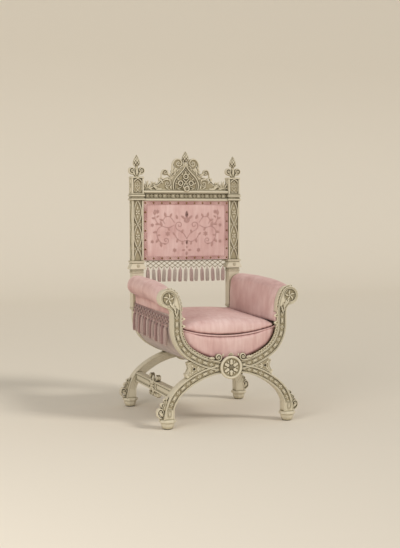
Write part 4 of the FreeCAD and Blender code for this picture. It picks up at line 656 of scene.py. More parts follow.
cushion_rows = [  # run to the back, height of the top, lift of the underside, draw-in of the sides
    (0.0, 0.46, 0.0, 0.3), (0.006, 0.62, 0, 0.1), (0.02, 0.78, 0, 0), (0.06, 0.90, 0, 0.05),
    (0.14, 0.97, 0, 0.35), (0.25, 1.0, 0, 0.7), (0.5, 1.02, 0, 0.9), (0.75, 1.01, 0, 0.8),
    (0.9, 0.98, 0, 0.3), (0.97, 0.85, 0, 0), (0.996, 0.55, 0.08, 0.3),
]


def cushion_ring(run, rise, lift, draw):
    """The cushion's section at a run to the back: it hangs in the sling below and is crowned on top."""
    half = 219 - 3 * draw
    crease = 448 + 18 * run
    crown = 471 + 10 * run
    bottom = [(half * k / 8, sling(half * k / 8, 1.5) + (crown - cushion_low) * lift) for k in range(-8, 9)]
    side_low = bottom[-1][1]
    side_high = side_low + (crease - side_low) * rise
    middle_high = cushion_low + (crown - cushion_low) * rise
    top = []
    for k in range(8, -9, -1):
        share = abs(k / 8)
        top.append((half * k / 8, side_high + (middle_high - side_high) * (1 - share**2.4)))
    return [Vector((x, -294 + 548 * run, z)) for x, z in bottom + top]


cushion = Piece()
cushion.add(loft([cushion_ring(*row) for row in cushion_rows]))
seat = cushion.finish("loose_seat_cushion", rose_velvet, "velvet", ["seat_cushion"], body="squab")
plump(seat, 5, 5, (-221.5, -298, 401), (221.5, 255.7, 488))


# Arm pads: the lining of the tub's sides, rolled over at the top
lining_gap = 0.6
lining_low = 448
lining_foot = [(seat_half + lining_gap, lining_low), (seat_half + lining_gap, 472)]
arm_inside_front = 228


def arm_ring(share):
    """The pad's section at a share of the way to the back."""
    swell = 1 - (1 - share)**4
    ending = max(0, (share - 0.9) / 0.1)**2
    centre = (volute[0] - 18 * share, volute[1] + 27 * swell)
    radius = volute_radius + 1 + 3.4 * swell - 9 * ending
    inner = arm_inside_front + (seat_half - arm_inside_front) * share + lining_gap
    middle, reach, top = throat(inner, throat_height, centre, radius)
    under_middle, under = hollow(268, 26, centre, radius)
    section = lining_foot + [(inner, throat_height)]
    section += arc(middle, reach, half_turn, top, 8)[1:]
    section += arc(centre, radius, top, under, 26)[1:]
    section += arc(under_middle, 26, under + half_turn, half_turn, 8)[1:]
    section += [(267, 502), (262.5, 500.5), (262.5, lining_low)]
    return [Vector((x, -261 + 522 * share, z)) for x, z in section]


def arm_lining():
    """The thin lining that runs forward beside the front frame."""
    section = lining_foot + [(226, 505), (229.4, 505), (229.4, lining_low)]
    return loft([[Vector((x, y, z)) for x, z in section] for y in (-296.5, -255)])


for name, side in (("left", -1), ("right", 1)):
    pad = Piece()
    place = mirror if side < 0 else Matrix()
    pad.add(loft([arm_ring(k / 14) for k in range(15)]), place)
    pad.add(arm_lining(), place)
    arm = pad.finish(f"{name}_padded_arm", rose_velvet, "velvet", [f"{name}_arm_pad"])
    limits = sorted((side * 221.6, side * 334))
    plump(arm, 4.5, 2.5, (limits[0], -298, 447), (limits[1], 261.8, 645))


# Aprons: padding below the seat in the openings of the front and the rear frame

def apron_outline(level_top):
    """The opening below the seat, clockwise seen from the front, from the right corner down and round."""
    right = arm_arch.line(offset=-arm_width / 2 - 1.0, count=14)
    right = [p for p in right if p[1] < (440 if level_top else 431)]
    half = right[-1][0]
    lower = [(-x, z) for x, z in right[::-1]] + right[1:]
    if level_top:
        return lower + [(228.8, 465), (0, 465), (-228.8, 465)]
    return lower + [(half * k / 10, sling(half * k / 10, -2.0)) for k in range(9, -10, -1)]


apron_layers = [(0, 0), (0, 8), (2, 13), (7, 16.5)]  # draw-in of the outline, depth
for name, wall, y, cloth, slot in (("front_apron", "front", -270.6, rose_velvet, "velvet"),
                                   ("rear_apron", "rear", 270.6, wool_rep, "outer_cloth")):
    outline = apron_outline(level_top=wall == "rear")
    pad = Piece()
    pad.add(loft([[Vector((x, z, depth)) for x, z in inset(outline, draw)] for draw, depth in apron_layers]),
            on(wall, 0, y, 0))
    apron = pad.finish(f"padded_{name}", cloth, slot, [name])
    low, high = sorted((y, y + math.copysign(22, y)))
    plump(apron, 4.5, 5, (-231, low, 281), (231, high, 467))


# Velvet rolls: one closes the gap between the front apron and the cushion, one covers the rear board's top
front_edge = [(x, -283, sling(x, -0.6) - 4.2) for x in (224 * k / 20 for k in range(-20, 21))]
rear_edge = [(x, 266, 466) for x in (-227, 0, 227)]
for name, line, wide, high in (("front_apron", front_edge, 6.5, 4.2), ("rear_board", rear_edge, 5.4, 2.8)):
    roll = Piece()
    roll.add(rod(line, wide, high, sides=12))
    roll.finish(f"{name}_top_roll", rose_velvet, "velvet")


# Cloth round the outside of the tub, from one arm roll under the chair to the other

def sheet_grid(rows):
    """A sheet without thickness through rows of as many points."""
    size = len(rows[0])
    points = [p for row in rows for p in row]
    faces = []
    for k in range(len(rows) - 1):
        for i in range(size - 1):
            at = k * size + i
            faces.append((at, at + 1, at + size + 1, at + size))
    return points, faces


half_line = arm_arch.line(offset=17.5, count=26) + [(267.5, z) for z in (455, 470, 485, 499)]
cover_line = [(-x, z) for x, z in half_line[::-1]] + half_line[1:]
cover = Piece()
cover_half = 261.5
cover.add(sheet_grid([[Vector((x, -cover_half + 2 * cover_half * k / 26, z)) for x, z in cover_line]
                      for k in range(27)]))
outer = cover.finish("outer_tub_cover", wool_rep, "outer_cloth", ["outer_cover"], crease=180)


# Webbing under the cushion: straps from side to side over and under straps from front to back

def strap(line, width, across):
    """A flat strap, 2 mm thick, along a line; its width lies across it."""
    wide = Vector(across) * width / 2
    lift = Vector((0, 0, 1.0))
    return loft([[spot - wide - lift, spot + wide - lift, spot + wide + lift, spot - wide + lift]
                 for spot in map(Vector, line)])


webbing = Piece()
cross_pitch, long_pitch = 86, 84
strap_drop, strap_wave = 3.6, 1.1    # below the sling, and up and down where two straps cross
for row in range(6):
    y = -215 + cross_pitch * row
    line = []
    for k in range(-40, 41):
        x = 238 * k / 40
        wave = strap_wave * math.sin(half_turn * (x / long_pitch + row))
        line.append((x, y, sling(x) - strap_drop + wave))
    webbing.add(strap(line, 56, (0, 1, 0)))
for row in range(5):
    x = -168 + long_pitch * row
    line = []
    for k in range(-40, 41):
        y = 255 * k / 40
        wave = strap_wave * math.sin(half_turn * ((y - cross_pitch / 2) / cross_pitch + 0.5 + row))
        line.append((x, y, sling(x) - strap_drop - wave))
    webbing.add(strap(line, 50, (math.cos(x / sling_radius), 0, math.sin(x / sling_radius))))
webbing.finish("seat_straps", webbing_jute, "webbing", ["seat_webbing"])


# Back panel: a pad that is crowned towards the middle
pad_rim = 270.5
pad_back = 278.4
pad_crown = 7


def panel_face(x, z, lift=0.0):
    """A point on the crowned face of the back pad, or proud of it by a lift."""
    u = min(abs(x) / (panel_half - 1), 1)
    v = min(abs(z - panel_middle) / (panel_rise - 1), 1)
    return Vector((x, pad_rim - pad_crown * ((1 - u**3) * (1 - v**3))**0.8 - lift, z))


def back_pad_shape():
    """The pad: its crowned face, a flat back and the rim that joins them."""
    count_x, count_z = 48, 34
    columns = [(panel_half - 1) * (2 * i / count_x - 1) for i in range(count_x + 1)]
    rows = [(panel_rise - 1) * (2 * k / count_z - 1) + panel_middle for k in range(count_z + 1)]
    fore, faces = sheet_grid([[panel_face(x, z) for x in columns] for z in rows])
    aft = [Vector((x, pad_back, z)) for z in rows for x in columns]
    faces += [tuple(i + len(fore) for i in face[:1] + face[:0:-1]) for face in faces]
    size = count_x + 1
    rim = list(range(size)) + [k * size + count_x for k in range(1, count_z + 1)]
    rim += [count_z * size + i for i in range(count_x - 1, -1, -1)]
    rim += [k * size for k in range(count_z - 1, 0, -1)]
    faces += [(a, b, b + len(fore), a + len(fore)) for a, b in zip(rim, rim[1:] + rim[:1])]
    return fore + aft, faces


panel = Piece()
panel.add(back_pad_shape())
back = panel.finish("back_panel_pad", rose_velvet, "velvet", ["back_pad"])


# Silk cords laid on the velvet: stems, leaves and small flowers, alike on both halves of the panel
embroidery = Piece()
stems = [
    spiral((38, 880), 27, 5, 1.3, -quarter, way=1),
    through([(38, 853), (16, 838), (0, 812)]),
    through([(0, 806), (24, 800), (48, 812), (62, 832)]),
    through([(64, 892), (84, 918), (108, 920), (122, 902), (112, 886)]),
    through([(66, 880), (92, 868), (128, 876), (158, 900), (164, 930)]),
    through([(128, 876), (150, 858), (152, 826), (134, 796), (106, 788)]),
    spiral((108, 806), 18, 4, 1.2, -quarter, way=-1),
    [polar((0, 905), 13, quarter + half_turn * k / 12) for k in range(13)],
]
stitched_leaves = [  # x, z, turn, size
    (0, 920, 0, 26), (12, 912, -50, 20), (20, 858, 200, 18), (48, 910, -20, 20), (62, 832, -40, 16),
    (86, 920, 30, 18), (108, 921, -15, 20), (122, 902, -70, 18), (96, 869, 160, 18), (128, 876, -20, 22),
    (142, 886, -95, 18), (160, 912, -80, 18), (164, 930, 5, 24), (155, 918, 60, 16), (152, 848, -100, 20),
    (150, 830, 80, 16), (145, 812, -140, 20), (134, 796, -190, 22), (120, 790, 100, 14), (24, 800, 170, 16),
    (48, 812, 190, 18), (0, 806, 180, 20),
]
stitched_flowers = [(150, 945, 7), (98, 838, 8), (62, 758, 7), (176, 880, 6), (176, 800, 6)]  # x, z, size
for line in stems:
    for way in (-1, 1):
        spots = [panel_face(way * p[0], p[1], 0.7) for p in line]
        wide, high = taper(len(spots), 1.1, 0.5, 0.5), taper(len(spots), 0.8, 0.6, 0.6)
        embroidery.add(rod(spots, wide, high, sides=6, out=(0, -1, 0)))
for x, z, turn, size in stitched_leaves:
    for way in (-1, 1):
        spot = panel_face(way * x, z, 0.1)
        embroidery.add(leaf(size * 1.1, size * 0.6, 1.3, 0), on("front", *spot, way * math.radians(turn)))
for way in (-1, 1):
    for x, z, size in stitched_flowers:
        spot = panel_face(way * x, z, 0.1)
        embroidery.add(petals(6, size * 0.35, size * 1.3, size * 0.9, 1.2), on("front", *spot))
        embroidery.add(button(size * 0.35, 1.8, 10), on("front", *spot))
embroidery.add(petals(8, 3, 9, 5, 1.2), on("front", *panel_face(0, 905, 0.1)))
embroidery.add(petals(4, 8, 18, 10, 1.3), on("front", *panel_face(0, 758, 0.1)))
embroidery.finish("panel_embroidery", rose_silk, "velvet")

# Braid border and its nails
nail_inset = 9.5
nail_half, nail_low, nail_high = panel_half - nail_inset, panel_low + nail_inset, panel_high - nail_inset
nail_places = [(-nail_half + 2 * nail_half * k / 10, z) for k in range(11) for z in (nail_low, nail_high)]
nail_places += [(x, nail_low + (nail_high - nail_low) * k / 6)
                for k in range(1, 6) for x in (-nail_half, nail_half)]


def border_ring(draw, proud):
    """Once round the panel at a distance from its edge; the braid is drawn in at each nail."""
    half = panel_half - draw
    low, high = panel_low + draw, panel_high - draw
    corners = [(-half, low), (half, low), (half, high), (-half, high)]
    ring = []
    for (ax, az), (bx, bz) in zip(corners, corners[1:] + corners[:1]):
        for k in range(60):
            x, z = ax + (bx - ax) * k / 60, az + (bz - az) * k / 60
            near = min(math.dist((x, z), nail) for nail in nail_places)
            ring.append(Vector((x, 269.6 - proud * (0.8 + 0.2 * min(near / 18, 1)), z)))
    return ring


border = Piece()
border_section = [(0.3, 0), (0.3, 2.2), (3, 3.0), (4.5, 2.3), (9.5, 3.2), (14.5, 2.3), (16, 3.0), (19, 2.2),
                  (19, 0)]
border.add(loft([border_ring(draw, proud) for draw, proud in border_section], closed=True))
border.finish("braid_border", braid_cloth, "border_cloth", ["back_border"])

nails = Piece()
for x, z in nail_places:
    nails.add(button(4.4, 2.6), on("front", x, 267.4, z))
nails.finish("brass_border_nails", brass, "brass", ["border_nails"])

# Cloth on the rear of the panel, a little full in the middle
behind = Piece()
rows = []
for z in (panel_low + (panel_high - panel_low) * k / 20 for k in range(21)):
    row = []
    for x in (-panel_half + 2 * panel_half * i / 30 for i in range(31)):
        belly = (1 - (x / panel_half)**4) * (1 - ((z - panel_middle) / panel_rise)**4)
        row.append(Vector((x, 305.8 + 1.2 * belly, z)))
    rows.append(row)
behind.add(sheet_grid(rows))
lining = behind.finish("back_panel_cloth", wool_rep, "outer_cloth", ["back_cover"], crease=180)


# Fringes: a braid, a net of knotted cords and a row of silk tassels

def twisted(start, end, thick, pitch):
    """Two strands laid round each other between two points."""
    start, end = Vector(start), Vector(end)
    ahead = (end - start).normalized()
    across = ahead.orthogonal().normalized()
    other = ahead.cross(across)
    steps = max(2, round((end - start).length / pitch * 6))
    made = []
    for strand in (0, half_turn):
        line = []
        for k in range(steps + 1):
            angle = strand + 2 * half_turn * k / 6
            off = (across * math.cos(angle) + other * math.sin(angle)) * thick * 0.55
            line.append(start + (end - start) * k / steps + off)
        made.append(rod(line, thick * 0.62, sides=5, out=across))
    return made


def knotted_net(width, heading, row, pitch, count, thick):
    """Crossing cords from the heading down, with a knot at each crossing, drawn in X and Y."""
    shapes = []
    rows_down = 1.5
    limit = width / 2 - thick
    for k in range(-2, count + 2):
        for way in (-1, 1):
            x = (k - (count - 1) / 2) * pitch
            end = x + way * rows_down * pitch
            if abs(x) > limit and abs(end) > limit:
                continue
            spots = []
            for step in range(7):
                run = rows_down * step / 6
                here = x + way * run * pitch
                if abs(here) <= limit:
                    spots.append((here, -heading - run * row, 0.35 * way * thick))
            if len(spots) > 1:
                shapes.append(rod(spots, thick * 0.5, sides=6))
    knot = turned([(thick * 0.4, -thick), (thick * 0.95, -thick * 0.4), (thick * 0.95, thick * 0.4),
                   (thick * 0.4, thick)], 8)
    for step in range(4):
        for k in range(-1, count + 2):
            x = (k - (count - 1) / 2 + (0.5 if step % 2 else 0)) * pitch
            if abs(x) < limit:
                shapes.append(joined([knot], [Matrix.Translation((x, -heading - step * row / 2, 0))]))
    return shapes, heading + rows_down * row


def braid(width, wide):
    """Two laid cords with a zigzag of flat yarn between them, drawn in X and Y under the heading's top."""
    shapes = []
    for y in (wide * 0.16, wide * 0.84):
        shapes += twisted((-width / 2, y, 1.2), (width / 2, y, 1.2), 1.5, 7)
    count = round(width / 6)
    zigzag = []
    for k in range(count + 1):
        zigzag.append((-width / 2 + width * k / count, wide * (0.3 if k % 2 else 0.7), 0.8))
    shapes.append(rod(zigzag, 1.3, 0.8, sides=6))
    return shapes


def tassel(length, swell, strands):
    """A silk tassel that hangs from its origin: a wound head over a drop of loose cords."""
    neck = 9
    head = turned([(1.4, 3), (3.0, 1.5), (4.4, -0.5), (4.6, -3), (3.8, -5), (3.4, -6), (4.4, -7), (4.4, -8.5),
                   (swell * 0.78, -12)], 12, flutes=6, depth=0.12)
    drop = length - neck
    core_line = [(0.6, 0), (0.7, 0.12), (0.74, 0.3), (0.78, 0.6), (0.76, 0.88), (0.6, 0.95), (0.2, 0.97)]
    core = turned([(swell * wide, -neck - drop * down) for wide, down in core_line], 12)
    shapes = [head, core]
    for k in range(strands):
        angle = 2 * half_turn * k / strands + random.uniform(-0.08, 0.08)
        lean = random.uniform(-0.25, 0.25)
        last = random.uniform(0.9, 1.0)
        line = []
        for step in range(9):
            run = step / 8 * last
            bulge = 0.7 + 0.2 * math.sin(min(run / 0.45, 1) * quarter)
            if run > 0.85:
                bulge -= 1.2 * (run - 0.85)
            reach = swell * bulge
            turn = angle + lean * run
            line.append((reach * math.cos(turn), reach * math.sin(turn), -neck - drop * run))
        outward = (math.cos(angle), math.sin(angle), 0)
        shapes.append(rod(line, taper(9, swell * 0.19, 0.7, 0.6), sides=5, out=outward))
    return shapes


def skewed(slope, lean=0.0):
    """Tilts what hangs along its row by a slope and stands its lower edge out by a lean."""
    return Matrix(((1, 0, 0, 0), (slope, 1, 0, 0), (0, -lean, 1, 0), (0, 0, 0, 1)))


def hang(net, tassels, place, outward, width, heading, row, pitch, count, length, swell, thick):
    """A net at its place on a wall that faces outward, and tassels by turns from two yarns under it."""
    shapes, drop = knotted_net(width, heading, row, pitch, count, thick)
    for shape in shapes:
        net.add(shape, place)
    for k in range(count):
        across = (k - (count - 1) / 2) * pitch
        spot = place @ Vector((across, -drop, 0))
        sway = Matrix.Rotation(random.uniform(-0.06, 0.06), 4, outward)
        turn = sway @ Matrix.Rotation(random.uniform(-0.5, 0.5), 4, "Z")
        for shape in tassel(length + random.uniform(-2, 0), swell, strands=13):
            tassels[k % 2].add(shape, Matrix.Translation(spot) @ turn)


fringe_top = 488
for name, side in (("left", -1), ("right", 1)):
    net = Piece()
    tassels = [Piece(), Piece()]
    slope = side * 22 / 524                # the row rises 22 mm to the back
    hang(net, tassels, on(name, side * 270.6, 0, fringe_top) @ skewed(slope, lean=6 / 26), walls[name][2],
         width=520, heading=3, row=18, pitch=506 / 12, count=12, length=94, swell=8.6, thick=3.9)
    for shape in braid(522, 11):
        net.add(shape, on(name, side * 268.6, 0, fringe_top) @ skewed(slope))
    net.finish(f"{name}_arm_net", plum_yarn, "fringe", [f"{name}_side_net"])
    tassels[0].finish(f"{name}_arm_tassels_plum", plum_yarn, "fringe", [f"{name}_side_tassels"])
    tassels[1].finish(f"{name}_arm_tassels_mauve", mauve_yarn, "fringe")

net = Piece()
tassels = [Piece(), Piece()]
hang(net, tassels, on("front", 0, 277.5, 708.7), walls["front"][2],
     width=422, heading=5, row=21, pitch=28, count=15, length=72, swell=8.8, thick=3.2)
for shape in twisted((-210, 277.5, 706), (210, 277.5, 706), 1.9, 8):
    net.add(shape)
net.finish("back_fringe_net", dark_yarn, "fringe", ["back_net"])
tassels[0].finish("back_tassels_mauve", mauve_yarn, "fringe", ["back_tassels"])
tassels[1].finish("back_tassels_grey", grey_yarn, "fringe")


# Mouldings along the faces of the X frames
scroll_middle, scroll_reach, scroll_top = throat(arm_span - arm_width / 2, throat_height, volute,
                                                 volute_radius)
neck_middle, neck_angle = hollow(arm_span + arm_width / 2, neck_radius, volute, volute_radius)
hub_cover = 54               # the roundel hides the curves nearer to the middle than this
foot_top = 44
foot_half = 24
channel_floor = front + 3.5
edge_roll = 2.6              # the heavy moulding keeps this far inside an edge
channel_half = 13.2          # the fine mouldings run this far beside the middle of a curve
ground_half = 11.6
foliage_reach = 520          # the channel's ground runs up to here, under the leaves of the scroll


def arm_edge(draw):
    """The arm curve's outline drawn in from its edge: up inside, round the scroll and down outside."""
    reach = arm_width / 2 - draw
    return (arm_arch.line(-reach, hub_cover)
            + arc(scroll_middle, scroll_reach - draw, half_turn, scroll_top)[1:]
            + arc(volute, volute_radius - draw, scroll_top, neck_angle, 30)[1:]
            + arc(neck_middle, neck_radius + draw, neck_angle + half_turn, half_turn)[1:]
            + arm_arch.line(reach, hub_cover)[::-1])


def leg_line(offset, start=hub_cover):
    """A line along the leg, beside its middle, from the roundel down to where the foot flares out."""
    return [p for p in leg_arch.line(offset, start) if p[1] > flare_height]


def leg_edge(way, draw):
    """One edge of a leg, way 1 outside and -1 inside, drawn in from it, down to the foot."""
    return leg_line(way * (leg_width / 2 - draw)) + [(leg_span + way * (foot_half - draw), foot_top)]


def scroll_band():
    """The channel's inner moulding, which runs on up into the spiral of the scroll."""
    draw = arm_width / 2 - channel_half
    return (arm_arch.line(-channel_half, hub_cover)
            + arc(scroll_middle, scroll_reach - draw, half_turn, scroll_top)[1:]
            + spiral(volute, volute_radius - draw, 25, 1.1, scroll_top, way=-1)[1:])


def neck_band():
    """The channel's outer moulding, up to the hollow under the scroll."""
    draw = arm_width / 2 - channel_half
    return (arm_arch.line(channel_half, hub_cover)
            + arc(neck_middle, neck_radius + draw, half_turn, neck_angle + half_turn))


def oblong(half_x, half_y, corner, height):
    """An oblong with rounded corners, at a height."""
    ring = []
    for x, y, turn in ((1, 1, 0), (-1, 1, 1), (-1, -1, 2), (1, -1, 3)):
        for k in range(4):
            angle = quarter * (turn + k / 3)
            ring.append(Vector((x * (half_x - corner) + corner * math.cos(angle),
                                y * (half_y - corner) + corner * math.sin(angle), height)))
    return ring


def raised_stud(half_x, half_y, rise):
    """An oblong stud with a raised border round a sunk and domed middle."""
    steps = [(0, -0.3), (0, 0.6), (0.14, 0.95), (0.26, 0.95), (0.36, 0.55), (0.5, 0.65), (0.8, 1.0)]
    return loft([oblong(half_x - half_y * draw, half_y * (1 - draw), half_y * (1 - draw) * 0.45, rise * high)
                 for draw, high in steps])


def four_lobed(radius, rise):
    """A flower of four round lobes, to be laid on the ground of a panel."""
    lobes = [Matrix.Translation((*polar((0, 0), radius * 0.55, quarter * k), 0)) for k in range(4)]
    return joined([button(radius * 0.45, rise)] * 4 + [button(radius * 0.34, rise * 1.6)], lobes + [Matrix()])


mouldings = Piece()
fore = on("front", 0, front, 0)
mouldings.add_twins(rod(arm_edge(edge_roll), 2.3, 2.2), fore)
mouldings.add_twins(rod(scroll_band(), 1.5, 2.0), fore)
mouldings.add_twins(rod(neck_band(), 1.5, 1.8), fore)
for way in (-1, 1):
    mouldings.add_twins(rod(leg_edge(way, edge_roll), 2.2, 2.0), fore)
    mouldings.add_twins(rod(leg_line(way * channel_half), 1.5, 1.8), fore)
foot_x, foot_z = leg_line(0)[-1]
mouldings.add_twins(rod([(foot_x - 12, foot_z - 2), (foot_x + 13, foot_z - 1)], 1.5, 1.8), fore)
tongue = [(-8, 83), (-8, 64)] + arc((0, 62), 8, half_turn, 2 * half_turn, 8)[1:-1] + [(8, 64), (8, 83)]
mouldings.add_twins(rod([(leg_span + x - 1, z) for x, z in tongue], 1.4, 1.8, closed=True), fore)
mouldings.add_twins(raised_stud(5, 9, 3), on("front", leg_span - 1, front, 68))
mouldings.finish("front_frame_mouldings", oak, "carved_wood")

reeds = Piece()
for wall, y in (("front", inner_face), ("rear", outer_face), ("rear", -inner_face)):
    face = on(wall, 0, y, 0)
    for way in (-1, 1):
        reeds.add_twins(rod(leg_edge(way, edge_roll), 2.2, 1.8), face)
    for offset in (-8, 0, 8):
        reeds.add_twins(rod(leg_line(offset, 12), 2.4, 1.4), face)
    if y == outer_face:
        for offset in (-17.4, -8, 0, 8, 17.4):
            reeds.add_twins(rod(arm_arch.line(offset, 12) + [(arm_span + offset, 466)], 2.3, 1.6), face)
reeds.finish("rear_reeding", oak, "carved_wood")


# Painted shade: thin sheets in a darker copy of the paint on the grounds of the sunk channels, scroll faces,
# roundels, posts, rail and brackets
panel_floor = post_front + 6
rail_floor = 278
bracket_eye = (169.25, 259)
grounds = Piece()
floor = on("front", 0, channel_floor + 0.1, 0)
under_roundel = hub_cover - 6
arm_inside, arm_outside = [arm_arch.line(way * ground_half, under_roundel)
                           + [(arm_span + way * ground_half, foliage_reach)] for way in (-1, 1)]
grounds.add_twins(band(arm_inside, arm_outside, 0.5), floor)
leg_inside = leg_line(-ground_half, under_roundel)
leg_outside = leg_line(ground_half, under_roundel)[:len(leg_inside)]
grounds.add_twins(band(leg_inside, leg_outside, 0.5), floor)
for wall, y in roundel_faces:
    grounds.add(turned([(40.6, -0.4), (40.6, 0.5)], 48), on(wall, 0, y, hub_height))
for side in (-1, 1):
    edges = [[(side * arm_span + x, z) for z in (shaft_low + 0.8, shaft_high - 0.8)] for x in (-21.8, 21.8)]
    grounds.add(band(*edges, 0.4), on("front", 0, panel_floor, 0))
grounds.add(band([(-216, 1007.5), (216, 1007.5)], [(-216, 1036.5), (216, 1036.5)], 0.4),
            on("front", 0, rail_floor, 0))
grounds.add_twins(turned([(28.6, 0), (28.6, 0.5)], 40),
                  on("front", volute[0], channel_floor + 0.1, volute[1]))
above, below = [], []        # the bracket's ground is in two strips, over its eye and under it
for k in range(29):
    x = 137 + 46.5 * k / 28
    rise = math.sqrt(max(0, 8**2 - (x - bracket_eye[0])**2))
    under_arm = arm_arch.middle[1] - math.sqrt((arm_arch.radius + 28)**2 - x**2)
    over_leg = leg_arch.middle[1] + math.sqrt((leg_arch.radius + 27)**2 - x**2)
    above.append(((x, bracket_eye[1] + rise), (x, under_arm)))
    below.append(((x, over_leg), (x, bracket_eye[1] - rise)))
for strip in (above, below):
    grounds.add_twins(band(*zip(*strip), 0.5), on("front", 0, front + 4.1, 0))
grounds.finish("painted_shade_grounds", shaded_ground_paint, "carved_wood")

# discs and strips in the darkest copy of the paint, sunk in the eyes and hollows of scrolls: painted shade
sunk_eyes = Piece()
neck_inside = [(270, 549), (262, 541), (253, 531), (244, 520)]
neck_outside = [(282, 541), (273, 532), (266, 524), (263, 517)]
sunk_eyes.add_twins(band(neck_inside, neck_outside, 0.5), fore)


# Studs and flowers by turns along the sunk channels
studs = Piece()
first_stud, stud_pitch, stud_half = 62, 29.5, 12.5
arm_run = arm_arch.length + throat_height - arm_spring
flare_angle = math.asin((flare_height - leg_arch.side_middle[1]) / leg_arch.side_radius)
leg_run = leg_arch.length - flare_angle * leg_arch.side_radius
for arch, run in ((arm_arch, arm_run), (leg_arch, leg_run)):
    for k in range(int((run - first_stud - stud_half) / stud_pitch) + 1):
        (x, z), direction = arch.at(first_stud + k * stud_pitch)
        shape = four_lobed(9.6, 3.6) if k % 2 else raised_stud(stud_half, 7.6, 4.8)
        studs.add_twins(shape, on("front", x, channel_floor, z, direction))
studs.finish("carved_channel_studs", oak, "carved_wood", ["channel_studs"])


# Foliage in the front scrolls: a rosette in the spiral and leaves that spill into the channel
bosses = Piece()
eye_spot = on("front", volute[0], channel_floor, volute[1])
for k in range(5):
    bosses.add_twins(leaf(23, 10, 5.5, 3, curl=0.2, bend=1.1),
                     eye_spot @ fanned(2 * half_turn * k / 5 + 0.4, 4))
bosses.add_twins(button(5, 6.5), eye_spot)
bosses.add_twins(ring_rod(24.5, 1.3, 2.6, sides=6, count=40), eye_spot)
spill = [  # x, z, turn, length, width
    (283, 552, 144, 32, 11), (269, 550, 166, 34, 10), (266, 534, 148, 24, 8), (256, 538, -172, 34, 9),
    (259, 516, 165, 26, 9), (246, 523, -170, 30, 8),
]
for x, z, turn, length, width in spill:
    bosses.add_twins(leaf(length, width, 5.5, 3, curl=0.3), on("front", x, front, z, math.radians(turn)))
for x, z in ((252, 503), (258, 491), (245, 492)):
    bosses.add_twins(button(3.2, 5.5), on("front", x, channel_floor, z))
bosses.finish("scroll_foliage", oak, "carved_wood", ["scroll_bosses"])

spurs = Piece()
for reach, size in ((0, 5.2), (9, 3.6)):
    spurs.add_twins(button(size, 6), on("front", 274 + reach * 0.5, front + 6, 526 + reach))
spurs.finish("neck_spurs", oak, "carved_wood")


# Roundels: six broad petals round a bud, on both frames
flowers = Piece()
buds = Piece()
for wall, y in roundel_faces:
    place = on(wall, 0, y, hub_height)
    flowers.add(petals(6, 10, 28, 20, 7.5, 2, curl=0.2), place)
    flowers.add(petals(6, 20, 17, 8, 4.5, 1, start=half_turn / 6), place)
    flowers.add(ring_rod(39.6, 1.3, 1.8, count=44), place)
    buds.add(turned([(12.4, -1), (12.4, 3), (11, 5.6), (7.4, 7.4), (2, 8)], 24, flutes=8, depth=0.16), place)
    buds.add(petals(5, 1, 6, 5, 2), place @ Matrix.Translation((0, 0, 7)))
flowers.finish("hub_flowers", oak, "carved_wood", ["roundel_flowers"])
# the buds take the darkest copy of the paint: painted shade at the hearts of the roundels
buds.finish("hub_buds", deepest_shade_paint, "carved_wood")


# Scrolls beside the front roundel and the leaf over it
scrolls = Piece()
scroll_x, scroll_z = 58.5, 307
tail = through([(104, 298), (92, 296.5), (78, 291), (64, 289.5)], 5)
line = tail + spiral((scroll_x, scroll_z), 17, 5, 1.4, -quarter, way=-1)[1:]
scrolls.add_twins(rod(line, taper(len(line), 3.4, 0.4, 0.7), 6.5), on("front", 0, front + 1, 0))
sunk_eyes.add_twins(turned([(15, -3), (15, 1), (14, 2)], 24), on("front", scroll_x, front + 4, scroll_z))
scrolls.add_twins(button(4.6, 8), on("front", scroll_x, front, scroll_z))
scrolls.add_twins(leaf(30, 14, 5, 3, curl=0.5), on("front", 76, front, 301, -math.radians(78)))
scrolls.add_twins(button(3.4, 6), on("front", 84, front, 305))
scrolls.add_twins(leaf(14, 9, 4, 2, curl=0.5), on("front", 38, front + 1, 309, math.radians(15)))
for turn in (-62, -31, 0, 31, 62):
    scrolls.add(leaf(14 if turn else 16, 7, 4, 2, curl=0.6),
                on("front", 0, front + 1, 310) @ fanned(math.radians(turn), 3))
scrolls.finish("carved_hub_scrolls", oak, "carved_wood", ["hub_scrolls"])


# Cresting inside the arm curves: a rib with small cusps low down and pierced loops up the uprights
cresting = Piece()
cresting_y = front + 5
rib = arm_arch.line(-arm_width / 2 - 1.7, 104) + [(228.3, throat_height - 2)]
cresting.add_twins(rod(rib, 1.5, 5), on("front", 0, front + 5.5, 0))
cusp = rod(arc((0, 0), 5.4, 0, half_turn, 8), 1.9, 4.2, sides=6)
cusp_pitch = 15
distance = 116
while distance < arm_arch.length - 8:
    (x, z), direction = arm_arch.at(distance, -arm_width / 2 - 2.6)
    cresting.add_twins(cusp, on("front", x, cresting_y, z, direction))
    (x, z), _ = arm_arch.at(distance + cusp_pitch / 2, -arm_width / 2 - 4.4)
    cresting.add_twins(turned([(0.6, -4), (1.9, -3), (1.9, 3), (0.6, 4)], 8), on("front", x, cresting_y, z))
    distance += cusp_pitch
for rise in (9, 41):
    x, z = 225.6, arm_spring + rise
    cresting.add_twins(ring_rod(6.4, 2.3, 4.6), on("front", x, cresting_y, z))
    for turn, length in ((60, 9), (90, 11), (120, 9)):
        cresting.add_twins(leaf(length, 6, 3.5, 1), on("front", x - 5, front + 4, z, math.radians(turn)))
    for way in (-1, 1):
        line = through([(228, z + way * 18), (226.5, z + way * 12), (227, z + way * 7)], 4)
        cresting.add_twins(rod(line, 1.8, 4.4), on("front", 0, cresting_y, 0))
cusp_turns = [(scroll_middle, scroll_reach + 1.2, turn) for turn in (176, 170.8, 165.6, 160.4, 155.2)]
cusp_turns += [(volute, volute_radius + 0.8, turn) for turn in (146, 125, 104, 83)]
